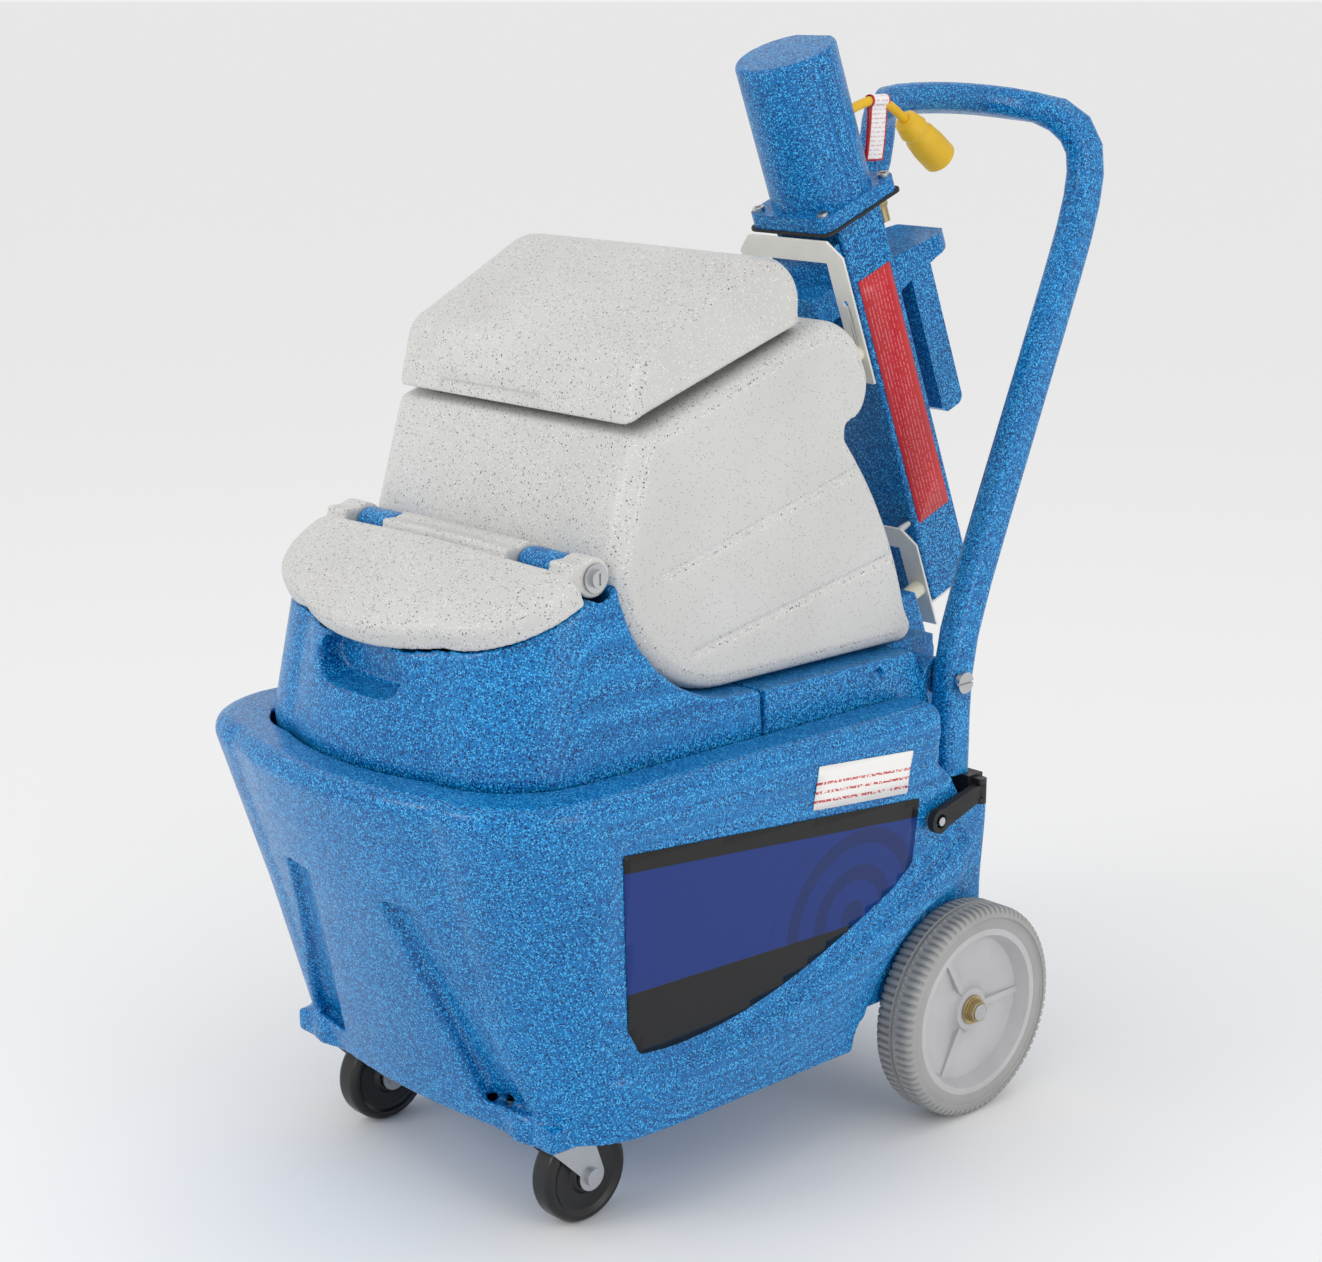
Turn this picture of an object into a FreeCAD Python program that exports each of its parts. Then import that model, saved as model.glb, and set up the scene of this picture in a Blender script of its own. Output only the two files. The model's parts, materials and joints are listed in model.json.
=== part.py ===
"""Self-contained carpet extractor: a wheeled tub with a solution tank, a recovery tank, an
inline heater tower and a folding push handle.

Millimetres. +Z is up, the front of the machine faces -Y and the handle is at +Y. The origin is on
the floor, under the middle of the overall box. "Left" is the operator's left, at +X.
"""
import FreeCAD, Part
import math
import os
from FreeCAD import Placement, Rotation, Vector

# ---------------------------------------------------------------- driving dimensions
overall_width = 480.0        # over the rear tyres
front_y = -435.0             # foremost point of the tub's rim
wall = 5.0                   # rotationally moulded walls
part_gap = 1.0               # gap between neighbouring mouldings

# rear wheels and axle
wheel_radius = 101.6
tyre_width = 44.0
rim_radius = 80.0
axle_y = 152.0
axle_radius = 7.9
hub_inset = 11.5             # the washers, in from the tyres' outer faces
running_gap = 0.05           # radial clearance of every turning fit
arch_gap = 26.0              # tyre to wheel arch, radially
arch_side_gap = 8.0          # tyre to the tub's side wall

# casters
caster_x = 139.0
caster_y = -289.0            # swivel axis
caster_trail = 30.0
caster_radius = 44.45
caster_wheel_width = 28.0
caster_height = 108.0
kingpin_radius = 5.0
caster_bolt_radius = 4.0
caster_plate = (36.0, 28.0)  # half sizes of the top plate across and along the machine
caster_swivel_room = 34.0    # radius that the fork's legs sweep inside the tub's pocket

# tub
tub_bottom_z = 92.0          # above the casters' wheels, which swivel beneath
axle_floor_gap = 12.5        # axle to the raised floor above it
tub_rear_floor_z = wheel_radius + axle_radius + axle_floor_gap
rim_z = 410.0
rim_half_width = 232.0
tub_bottom_half_width = 200.0
tub_rake = 104.0             # how far the front wall leans out between bottom and rim
tub_rear_y = 205.0
bay_half_width = 186.0       # opening of the tub

# solution tank and rear housing
tank_half_width = 183.0
tank_corner = 84.0           # plan radius of the tank's front corners at the rim
tank_bow = 18.0              # how far its front bulges between them
mouth_gap = 2.0              # tank to the tub's mouth
solution_front_y = -392.0
solution_floor_z = 190.0
seam_y = -82.0
housing_top_z = 446.0
housing_floor_z = 302.0
core_half_width = 148.0      # narrower rear part of the housing, between the handle arms
pedestal_half_width = 75.0
housing_bend_y = 182.0       # the housing's rear face leans up to here, then up to its top
housing_bend_z = 400.0
housing_top_y = 176.0

# solution tank lid
lid_pivot_y = -259.0
lid_pivot_z = 570.0
lid_slope = math.radians(25.0)
lid_plane_drop = 10.0        # the lid's underside at the pivot, below the pin
lid_half_width = 165.0
lid_plan_half_width = 175.0
lid_reach = 128.0            # from the pivot to the front edge, along the slope
lid_corner = 82.0
lid_rim = 24.0
lid_barrel_radius = 17.0
lid_pin_radius = 4.75
knuckle_inner_x = 85.0
knuckle_outer_x = 136.0

# recovery tank and its lid
recovery_half_width = 165.0
dome_half_width = 157.0
dome_pivot_y = -1.0
dome_pivot_z = 761.0
dome_pin_radius = 3.0
dome_barrel_radius = 7.0
mouth_half_width = 112.0
mouth_front = -178.0
mouth_rear = -34.0

# heater tower, in its own leaning frame
heater_lean = 21.5           # degrees, top towards the front
heater_y = 325.0
heater_z = 450.0
heater_half_width = 43.0
heater_half_depth = 30.0
heater_length = 404.0
flange_half_width = 50.0
flange_half_depth = 52.5
flange_thickness = 14.0
gasket_thickness = 3.0
cap_radius = 47.5
cap_top = 560.0              # along the tower, from its foot
bracket_plane = 57.0         # front face of the bracket plates, ahead of the tower's axis
bracket_thickness = 2.5
bracket_half_width = 66.0
pedestal_plane = 80.0        # rear face of the pedestal, ahead of the tower's axis

# handle
pivot_y = 142.0
pivot_z = 418.0
arm_width = 28.0
arm_x = tank_half_width + part_gap + arm_width / 2
arm_depth = 36.0
bar_depth = 31.0
handle_edge = 11.0           # radius of the rounded edges
arm_foot_z = 330.0
bolt_radius = 6.0
strap_y = 155.0
strap_z = 316.0
keeper_y = 97.0
keeper_z = 300.0
keeper_radius = 4.0
strap_x = 224.5              # inner face of the latch straps
strap_thickness = 7.0
strap_eye_radius = 11.5
latch_pin_radius = 2.5
latch_screw_radius = 2.5

# connector lead at the heater cap
cord_diameter = 9.0
cord_gland_height = 477.0    # along the tower
cord_gland_length = 14.5
connector_radius = 17.0
connector_length = 68.0

# recovery tank fittings
upper_spacer_z = 290.0       # along the tower
upper_spacer_length = 26.0
lower_spacer_z = 33.0
spacer_x = 55.0
spacer_radius = 8.0
drain_radius = 11.0
drain_x = -112.0
drain_y = 136.0
drain_z = 482.0
port_radius = 22.0
port_bore = 19.0
port_x = -112.0
port_z = 612.0

# inside the recovery tank
pipe_x = 62.0
pipe_y = -48.0
pipe_radius = 22.0
pipe_wall = 2.5
pipe_top_z = 660.0
bend_radius = 31.0
float_radius = 20.5          # larger than the mouth's bore, which it closes

# rear panel
switch_x = -112.0
switch_heights = [418.0, 384.0, 350.0]
switch_size = (13.0, 11.0)   # half width, half height of a rocker
switch_margin = 20.0         # from an end switch's middle to the plate's edge
plate_rise = 4.0             # the switch plate's face, behind the housing's
rocker_pin_radius = 1.5
inlet_z = 384.0
inlet_radius = 26.0
inlet_bore = 17.0

CORD_NODES = ["pigtail_cord", "cord_connector", "cord_tag"]


# ---------------------------------------------------------------- helpers
def vec(x, y, z):
    return Vector(x, y, z)


def box(x0, x1, y0, y1, z0, z1):
    return Part.makeBox(x1 - x0, y1 - y0, z1 - z0, vec(x0, y0, z0))


def cylinder(radius, length, base, axis):
    return Part.makeCylinder(radius, length, vec(*base), vec(*axis))


def across(radius, x0, x1, y, z):
    """A cylinder along X."""
    return cylinder(radius, x1 - x0, (x0, y, z), (1, 0, 0))


def mirrored(shape):
    return shape.mirror(vec(0, 0, 0), vec(1, 0, 0))


def joined(shapes):
    first, *rest = shapes
    return first.fuse(rest).removeSplitter() if rest else first


def outline(start, steps, place):
    """A closed wire: each step is a point for a line, or a (middle, end) pair for an arc."""
    edges = []
    here = place(start)
    for step in steps:
        if isinstance(step[0], tuple):
            middle, end = place(step[0]), place(step[1])
            edges.append(Part.Arc(here, middle, end).toShape())
        else:
            end = place(step)
            edges.append(Part.LineSegment(here, end).toShape())
        here = end
    first = place(start)
    if here.distanceToPoint(first) > 1e-6:
        edges.append(Part.LineSegment(here, first).toShape())
    return Part.Wire(edges)


def shrink(start, steps, inset):
    """A map that draws an outline's points in towards its middle by an inset on each side."""
    flat = [start]
    for step in steps:
        flat += step if isinstance(step[0], tuple) else [step]
    spans = [(min(p[k] for p in flat), max(p[k] for p in flat)) for k in (0, 1)]

    def moved(p):
        return [(low + high) / 2 + (value - (low + high) / 2) * (1 - 2 * inset / (high - low))
                for value, (low, high) in zip(p, spans)]
    return moved


def side_wire(start, steps, x, inset=0.0):
    """A (y, z) outline in the plane at x, drawn in by an inset."""
    moved = shrink(start, steps, inset)
    return outline(start, steps, lambda p: vec(x, *moved(p)))


def side_profile(start, steps, half_width, inset=0.0):
    """Extrude a (y, z) outline across the machine, optionally drawn in by an inset."""
    face = Part.Face(side_wire(start, steps, -half_width + inset, inset))
    return face.extrude(vec(2 * (half_width - inset), 0, 0))


def pillow(start, steps, half_width, edge, inset=0.0):
    """A side outline extruded across the machine, with its two long rims rounded off."""
    half = half_width - inset
    levels = [(half - edge, 0.0), (half - 0.3 * edge, 0.3 * edge), (half, edge)]
    levels = [(-x, slim) for x, slim in reversed(levels)] + levels
    return Part.makeLoft([side_wire(start, steps, x, slim + inset) for x, slim in levels], True, True)


def plan_wire(z, half_width, front, rear, corner, bow):
    """A plan outline with a bowed front between two rounded corners."""
    shoulder = front + bow
    turn = corner * math.sqrt(0.5)
    inner = half_width - corner
    start = (half_width, rear)
    steps = [
        (half_width, shoulder + corner),
        ((inner + turn, shoulder + corner - turn), (inner, shoulder)),
        ((0.0, front), (-inner, shoulder)),
        ((-inner - turn, shoulder + corner - turn), (-half_width, shoulder + corner)),
        (-half_width, rear),
    ]
    return outline(start, steps, lambda p: vec(p[0], p[1], z))


def stack(levels):
    """A solid through plan outlines given as (z, half width, front, rear, corner, bow)."""
    return Part.makeLoft([plan_wire(*level) for level in levels], True, True)


def tower(shape):
    """Move a shape from the heater tower's frame to the machine's frame."""
    moved = shape.copy()
    moved.Placement = Placement(
        vec(0, heater_y, heater_z), Rotation(vec(1, 0, 0), heater_lean)
    )
    return moved


def tower_point(x, y, z):
    lean = math.radians(heater_lean)
    return vec(
        x,
        heater_y + y * math.cos(lean) - z * math.sin(lean),
        heater_z + y * math.sin(lean) + z * math.cos(lean),
    )


def revolved_about_x(start, steps, y=0.0, z=0.0):
    """Revolve an (x, radius) outline about an axis along X."""
    wire = outline(start, steps, lambda p: vec(p[0], y, z + p[1]))
    return Part.Face(wire).revolve(vec(0, y, z), vec(1, 0, 0), 360)


def sphere(radius, centre):
    return Part.makeSphere(radius, vec(*centre))


# ---------------------------------------------------------------- tub
def arch(clearance):
    """The room over both rear wheels, grown by a clearance."""
    radius = wheel_radius + arch_gap + clearance
    inner = overall_width / 2 - tyre_width - arch_side_gap - clearance
    right = across(radius, inner, overall_width, axle_y, wheel_radius)
    right = right.fuse(box(inner, overall_width, axle_y, axle_y + 2 * radius,
                           0, wheel_radius + radius))
    return right.fuse(mirrored(right))


def caster_room(clearance):
    """The two shallow pockets for the casters' plates and the tops of their forks."""
    top = caster_height + clearance
    half_x, half_y = (half + 2.0 + clearance for half in caster_plate)
    pocket = box(caster_x - half_x, caster_x + half_x, caster_y - half_y, caster_y + half_y, 0, top)
    pocket = pocket.fuse(cylinder(caster_swivel_room + clearance, top, (caster_x, caster_y, 0), (0, 0, 1)))
    return pocket.fuse(mirrored(pocket))


def tub_rear_cut(clearance):
    """Everything behind the flanks' rear edge, above the rear block."""
    start = (94 - clearance, rim_z + 60)
    steps = [
        (94 - clearance, rim_z - 10),
        (99 - clearance, 352),
        ((131 - clearance, 318), (144 - clearance, 282 - clearance)),
        ((141 - clearance, 240), (118 - clearance, 205)),
        (118 - clearance, 0), (400, 0), (400, rim_z + 60),
    ]
    return side_profile(start, steps, overall_width)


def tub_hull(inset):
    """The tub's outer form, or its inner one when inset by the wall."""
    low, high = tub_bottom_z + inset, rim_z - inset
    bottom_front = front_y + tub_rake + inset
    levels = [
        (low, tub_bottom_half_width - inset, bottom_front, 150, 70 - inset, 12),
        (250, 216 - inset, front_y + 54 + inset, 150, 82 - inset, 18),
        (rim_z - 14, rim_half_width - inset, front_y + inset, 150, 95 - inset, 25),
    ]
    if not inset:
        levels += [
            (rim_z - 5, rim_half_width - 3, front_y + 3, 150, 92, 25),
            (high, rim_half_width - 11, front_y + 11, 150, 86, 25),
        ]
    else:
        levels.append((high, rim_half_width - inset - 6, front_y + inset + 6, 150, 84, 25))
    hull = stack(levels).cut(tub_rear_cut(inset))
    block = box(-bay_half_width + inset, bay_half_width - inset, -20, tub_rear_y - inset,
                low, housing_floor_z - part_gap - inset)
    step = side_profile((-6 - inset, 0), [(20 - inset, tub_rear_floor_z + inset),
                                          (400, tub_rear_floor_z + inset), (400, 0)],
                        overall_width)
    return hull.fuse(block).cut(step)


def front_channels():
    """Tall tapered channels either side of the raised centre panel of the front wall."""
    levels = [(118, 92, 168, 26), (300, 46, 104, 13)]
    wires = []
    for z, inner, outer, depth in levels:
        share = (z - tub_bottom_z) / (rim_z - tub_bottom_z)
        face = front_y + tub_rake * (1 - share)
        wires.append(outline((inner, face - 60),
                             [(inner + 6, face + depth), (outer - 16, face + depth + 6),
                              (outer, face - 60)],
                             lambda p, z=z: vec(p[0], p[1], z)))
    return Part.makeLoft(wires, True, True)


def base_tub():
    bosses = caster_room(wall).cut(box(-300, 300, -500, 500, -10, tub_bottom_z))
    shell = tub_hull(0.0).fuse(bosses).cut(arch(0.0)).cut(caster_room(0.0))
    channel = front_channels()
    hollow = tub_hull(wall).cut(arch(wall)).cut(caster_room(wall))
    grown = joined([channel.translated(vec(dx, wall + 1, 0)) for dx in (-wall, wall)])
    grown = grown.fuse(channel)
    hollow = hollow.cut(grown).cut(mirrored(grown))
    mouth = stack([
        (rim_z - 20, bay_half_width, solution_front_y - mouth_gap, 260, tank_corner, tank_bow),
        (rim_z + 20, bay_half_width, solution_front_y - mouth_gap, 260, tank_corner, tank_bow),
    ])
    opening = box(-bay_half_width + wall, bay_half_width - wall, seam_y,
                  tub_rear_y - wall, housing_floor_z - 20, housing_floor_z + 60)
    passage = box(-bay_half_width, bay_half_width, seam_y, 260, housing_floor_z - part_gap, rim_z)
    tub = shell.cut(channel).cut(mirrored(channel)).cut(hollow)
    tub = tub.cut(mouth).cut(opening).cut(passage)
    for x, y in caster_bolt_points():
        hole = cylinder(caster_bolt_radius, 20, (x, y, caster_height - 4), (0, 0, 1))
        tub = tub.cut(hole).cut(mirrored(hole))
    return tub.cut(across(keeper_radius, -overall_width, overall_width, keeper_y, keeper_z))


# ---------------------------------------------------------------- upper mouldings
def recovery_form(grow=0.0):
    """The recovery tank's outer form, or the room round it when grown for a gap."""
    rise = 0.364
    start = (-206, 676)
    steps = [
        (-240, 563),
        ((-215, 503), (-112, 448)),
        (124, 448),
        ((133, 456), (126, 470)),
        ((92, 565), (38, 648)),
        (38, 668), (56, 672),
        ((66, 690), (60, 716)),
        ((42, 742), (8, 750)),
        (-19, 676 + rise * 187),
    ]
    if grow:
        return side_profile(start, steps, tank_half_width + 20, -grow)
    return pillow(start, steps, recovery_half_width, 16)


def recovery_inside():
    """The recovery tank's hollow, a wall inside its form."""
    rise = 0.364
    start = (-201.3, 672.4)
    steps = [
        (-234.7, 563.8),
        ((-211.3, 506.6), (-110.8, 453)),
        (122.5, 453),
        ((127.3, 457.8), (121.2, 468.6)),
        ((87.6, 562.6), (33, 646.4)),
        (33, 672.1), (51.9, 676.2),
        ((61, 690), (55.2, 714.5)),
        ((39, 737.6), (6.7, 745)),
        (-17.3, 670.7 + rise * 188.7),
    ]
    return pillow(start, steps, recovery_half_width - wall, 13)


def lid_plane_z(y):
    return lid_pivot_z - lid_plane_drop + math.tan(lid_slope) * (y - lid_pivot_y)


def above_lid_plane(offset):
    """Everything above the solution lid's underside plane, moved up by an offset."""
    near, far = front_y - 50, 200
    start = (near, lid_plane_z(near) + offset)
    return side_profile(start, [(far, lid_plane_z(far) + offset), (far, 1200), (near, 1200)],
                        overall_width)


def solution_levels(inset):
    low = solution_floor_z + inset
    heights = [low, 300.0, rim_z - 6, rim_z + 6, 508.0, 600.0]
    fronts = [50.0, 24.0, 2.0, 0.0, 15.0, 30.0]
    widths = [tank_half_width - s for s in (14.0, 8.0, 0.0, 0.0, 6.0, 11.0)]
    corners = [tank_corner + c for c in (-14.0, -6.0, 0.0, 0.0, 4.0, 8.0)]
    return [
        (z, w - inset, solution_front_y + f + inset, seam_y - part_gap - inset, c - inset, tank_bow)
        for z, w, f, c in zip(heights, widths, fronts, corners)
    ]


def grip_slot():
    """The hand-grip recess in the solution tank's front wall."""
    half, height, z = 56.0, 38.0, 472.0
    start = (-half + height / 2, z)
    steps = [(half - height / 2, z), ((half, z + height / 2), (half - height / 2, z + height)),
             (-half + height / 2, z + height), ((-half, z + height / 2), (-half + height / 2, z))]
    wire = outline(start, steps, lambda p: vec(p[0], solution_front_y - 30, p[1] - 12))
    return Part.Face(wire).extrude(vec(0, 72, 10))


def solution_tank():
    outside = stack(solution_levels(0.0)).cut(above_lid_plane(-1.0))
    outside = outside.cut(recovery_form(grow=part_gap))
    inside = stack(solution_levels(wall)).cut(above_lid_plane(-1.0 + wall))
    inside = inside.cut(recovery_form(grow=part_gap + wall))
    slot = grip_slot()
    grip = joined([slot.translated(vec(dx, wall, dz)) for dx, dz in
                   ((-wall, 0), (wall, 0), (0, -wall), (0, wall))])
    inside = inside.cut(grip)
    rim = side_profile((front_y, 300), [(lid_pivot_y - 26, 300), (lid_pivot_y - 26, 700),
                                        (front_y, 700)], overall_width)
    inside = inside.cut(above_lid_plane(-1.0 - wall).cut(rim))
    knuckles = []
    for side in (-1, 1):
        x0, x1 = sorted((side * knuckle_inner_x, side * knuckle_outer_x))
        barrel = across(lid_barrel_radius - 2, x0, x1, lid_pivot_y, lid_pivot_z)
        web = box(x0, x1, lid_pivot_y - 8, lid_pivot_y + 14,
                  lid_plane_z(lid_pivot_y) - 34, lid_pivot_z)
        knuckles.append(barrel.fuse(web))
    shell = outside.cut(inside).cut(slot)
    shell = shell.cut(across(lid_barrel_radius + part_gap, -tank_half_width - 20, tank_half_width + 20,
                             lid_pivot_y, lid_pivot_z))
    shell = joined([shell, *knuckles])
    shell = shell.cut(recovery_form(grow=part_gap))
    return shell.cut(across(lid_pin_radius, -200, 200, lid_pivot_y, lid_pivot_z))


def housing_form(inset):
    """The rear housing: full width at the flanks, narrower and deeper between the arms."""
    top = housing_top_z - inset
    low = housing_floor_z - (1.0 if inset else 0.0)
    front = seam_y + part_gap + inset
    flank = side_profile((front, low), [(174 - inset, low), (152 - inset, 352),
                                        (129 - inset, 406), (110 - inset, top), (front, top)],
                         tank_half_width - inset)
    core = side_profile((front, low), [(tub_rear_y - 3 - inset, low),
                                       (housing_bend_y - inset, housing_bend_z),
                                       (housing_top_y - inset, top), (front, top)],
                        core_half_width - inset)
    return flank.fuse(core)


def pedestal(inset):
    """The raised foot that carries the heater tower's lower bracket."""
    upper = tower_point(0, -pedestal_plane - inset, 46 - inset)
    lower = tower_point(0, -pedestal_plane - inset, -70)
    start = (150 + inset, 400)
    steps = [(150 + inset, 452 - inset), (upper.y, upper.z), (lower.y, lower.z),
             (184, housing_floor_z + 12 + inset), (150 + inset, housing_floor_z + 12 + inset)]
    return side_profile(start, steps, pedestal_half_width - inset)


def rear_housing():
    shell = housing_form(0.0).fuse(pedestal(0.0))
    hollow = housing_form(wall).fuse(pedestal(wall))
    shell = shell.cut(hollow)
    for side in (-1, 1):
        x0, x1 = sorted((side * (core_half_width - wall), side * (arm_x - arm_width / 2 - 3)))
        boss = across(17, x0, x1, pivot_y, pivot_z)
        shell = shell.fuse(boss)
    shell = shell.cut(across(bolt_radius, -arm_x, arm_x, pivot_y, pivot_z))
    shell = shell.cut(cylinder(pipe_radius + part_gap, 60, (pipe_x, pipe_y, 420), (0, 0, 1)))
    for point in lower_spacer_points():
        shell = shell.cut(tower(cylinder(4.0, 30, (point[0], -95, point[1]), (0, 1, 0))))
    return shell.removeSplitter()


def recovery_tank():
    outside = recovery_form()
    inside = recovery_inside()
    boss = side_profile((20, 640), [(100, 640), rear_boss_corner(0), rear_boss_corner(60), (20, 730)],
                        pedestal_half_width)
    mouth = mouth_column(0)
    tank = outside.cut(inside).fuse(boss.cut(outside)).cut(mouth)
    barrels = []
    for side in (-1, 1):
        for x in (62, 112):
            x0, x1 = sorted((side * x, side * (x + 18)))
            foot = box(x0, x1, dome_pivot_y - 5, dome_pivot_y + 5, 744, dome_pivot_z)
            barrels.append(foot.fuse(across(dome_barrel_radius, x0, x1, dome_pivot_y, dome_pivot_z)))
    tank = joined([tank, *barrels])
    tank = tank.cut(across(dome_pin_radius, -200, 200, dome_pivot_y, dome_pivot_z))
    tank = tank.cut(cylinder(pipe_radius, 60, (pipe_x, pipe_y, 420), (0, 0, 1)))
    tank = tank.cut(cylinder(drain_radius, 80, (drain_x, 60, drain_z), (0, 1, 0)))
    return tank.cut(cylinder(port_radius, 120, (port_x, 40, port_z), (0, 1, 0)))


def rear_boss_corner(height):
    """A point of the tank's rear boss, in the plane that the upper spacers meet."""
    point = tower_point(0, -bracket_plane - upper_spacer_length, upper_spacer_z + height - 34)
    return (point.y, point.z)


def recovery_lid():
    start = (-211, 684)
    steps = [(-12, 752), (-14, 762), ((-24, 797), (-54, 809)), ((-66, 809), (-78, 804)),
             (-186, 746), ((-195, 739), (-200, 729))]
    body = pillow(start, steps, dome_half_width, 12)
    hollow_start = (-206.8, 681)
    hollow = [(-16.2, 746), (-18, 761), ((-27, 794), (-54, 805)), ((-65, 805), (-76.5, 800.3)),
              (-183.5, 742.8), ((-191.5, 736.5), (-196, 728))]
    body = body.cut(pillow(hollow_start, hollow, dome_half_width - 4, 9))
    notch = box(-52, 52, -40, 20, 786, 830)
    floor = side_profile((-120, 700), [(20, 700), (20, 790), (-60, 797), (-120, 770)], 60)
    body = body.cut(notch.cut(floor))
    barrels = []
    for side in (-1, 1):
        x0, x1 = sorted((side * 80.5, side * 111.5))
        arm = side_profile((-18, 758), [(dome_pivot_y, dome_pivot_z - 6), (dome_pivot_y, dome_pivot_z + 6),
                                        (-18, 772)], (x1 - x0) / 2)
        arm.translate(vec((x0 + x1) / 2, 0, 0))
        barrels.append(arm.fuse(across(dome_barrel_radius, x0, x1, dome_pivot_y, dome_pivot_z)))
    body = joined([body, *barrels])
    return body.cut(across(dome_pin_radius + running_gap, -200, 200, dome_pivot_y, dome_pivot_z))


def mouth_column(grow):
    """A column through the recovery tank's mouth, grown sideways."""
    return stack([(z, mouth_half_width + grow, mouth_front - grow, mouth_rear + grow, 30 + grow / 2, 4)
                  for z in (640, 820)])


def tank_gasket():
    """A rubber seal round the recovery tank's mouth."""
    outer, inner = mouth_column(12), mouth_column(4)
    slab = side_profile((-206, 676), [(-19, 676 + 0.364 * 187), (-19, 680 + 0.364 * 187), (-206, 680)],
                        recovery_half_width)
    return outer.cut(inner).common(slab)


def lid_outline(height, inset):
    """The half-moon plan of the solution lid, in the plane of its underside."""
    return plan_wire(height, lid_plan_half_width - inset, -lid_reach + inset, -lid_barrel_radius - 2,
                     lid_corner - inset, 20)


def solution_lid():
    """The half-moon lid: a domed cap on a thick rim, with hinge ears and a centre barrel."""
    levels = [(0.0, 1.0), (2.0, 0.0), (lid_rim - 8, 0.0), (lid_rim - 2, 2.0), (lid_rim, 6.0),
              (lid_rim + 6, 30.0)]
    block = Part.makeLoft([lid_outline(*level) for level in levels], True, True)
    hollow = Part.makeLoft([lid_outline(h, wall) for h in (-5.0, lid_rim - 6)], True, True)
    block = block.cut(hollow)
    block.rotate(vec(0, 0, 0), vec(1, 0, 0), math.degrees(lid_slope))
    block.translate(vec(0, lid_pivot_y, lid_pivot_z - lid_plane_drop))
    barrels = []
    for x0, x1 in ((-knuckle_inner_x + 1, knuckle_inner_x - 1),
                   (knuckle_outer_x + 1, lid_half_width), (-lid_half_width, -knuckle_outer_x - 1)):
        barrel = across(lid_barrel_radius, x0, x1, lid_pivot_y, lid_pivot_z)
        web = box(x0, x1, lid_pivot_y - lid_barrel_radius - 8, lid_pivot_y - 2,
                  lid_pivot_z - lid_plane_drop - 1, lid_pivot_z + 14)
        barrels.append(barrel.fuse(web))
    lid = joined([block, *barrels])
    knuckle_room = across(lid_barrel_radius - 1, knuckle_inner_x - 1, knuckle_outer_x + 1,
                          lid_pivot_y, lid_pivot_z)
    lid = lid.cut(knuckle_room).cut(mirrored(knuckle_room))
    return lid.cut(across(lid_pin_radius + running_gap, -200, 200, lid_pivot_y, lid_pivot_z))


def lower_spacer_points():
    return [(-spacer_x, lower_spacer_z), (spacer_x, lower_spacer_z)]


def upper_spacer_points():
    return [(-spacer_x, upper_spacer_z), (spacer_x, upper_spacer_z)]


def recovery_lid_pin():
    return across(dome_pin_radius, -131, 131, dome_pivot_y, dome_pivot_z)


def solution_lid_pin():
    return across(lid_pin_radius, -lid_half_width - 1.5, lid_half_width + 1.5, lid_pivot_y, lid_pivot_z)


def lid_pin_screws():
    """A washer and a domed screw head at each end of the lid's pin."""
    solids = []
    for side in (-1, 1):
        face = side * (lid_half_width + 1.5)
        washer = across(12, *sorted((face, face + side * 1.5)), lid_pivot_y, lid_pivot_z)
        head = across(7.5, *sorted((face + side * 1.5, face + side * 5.5)), lid_pivot_y, lid_pivot_z)
        slot = box(*sorted((face + side * 4, face + side * 6)), lid_pivot_y - 1, lid_pivot_y + 1,
                   lid_pivot_z - 5, lid_pivot_z + 5)
        solids.append(washer.fuse(head).cut(slot))
    return Part.makeCompound(solids)


# ---------------------------------------------------------------- heater tower
def tower_box(half_width, y0, y1, z0, z1, corner=0.0):
    block = box(-half_width, half_width, y0, y1, z0, z1)
    if corner:
        upright = [e for e in block.Edges if abs(e.BoundBox.ZLength - (z1 - z0)) < 1e-6]
        block = block.makeFillet(corner, upright)
    return block


def heater_box():
    shell = tower_box(heater_half_width, -heater_half_depth, heater_half_depth, 0, heater_length, 4)
    hollow = tower_box(heater_half_width - 2, -heater_half_depth + 2, heater_half_depth - 2,
                       2, heater_length, 2)
    return tower(shell.cut(hollow))


def heater_core():
    core = tower_box(30, -18, 18, 12, heater_length - 30, 8)
    for x in (-12, 12):
        core = core.fuse(cylinder(6, 18, (x, 0, heater_length - 30), (0, 0, 1)))
    foot = box(-20, 20, -10, 10, 2, 12)
    return tower(core.fuse(foot))


def flange_plate(half_width, half_depth, z0, z1, corner):
    return tower_box(half_width, -half_depth, half_depth, z0, z1, corner)


def flange_screw_points():
    return [(sx * (flange_half_width - 9), sy * (flange_half_depth - 9))
            for sx in (-1, 1) for sy in (-1, 1)]


def heater_gasket():
    plate = flange_plate(flange_half_width + 2, flange_half_depth + 2, heater_length,
                         heater_length + gasket_thickness, 10)
    plate = plate.cut(box(-34, 34, -22, 22, 0, 600))
    for x, y in flange_screw_points():
        plate = plate.cut(cylinder(2.6, 40, (x, y, heater_length - 10), (0, 0, 1)))
    return tower(plate)


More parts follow.
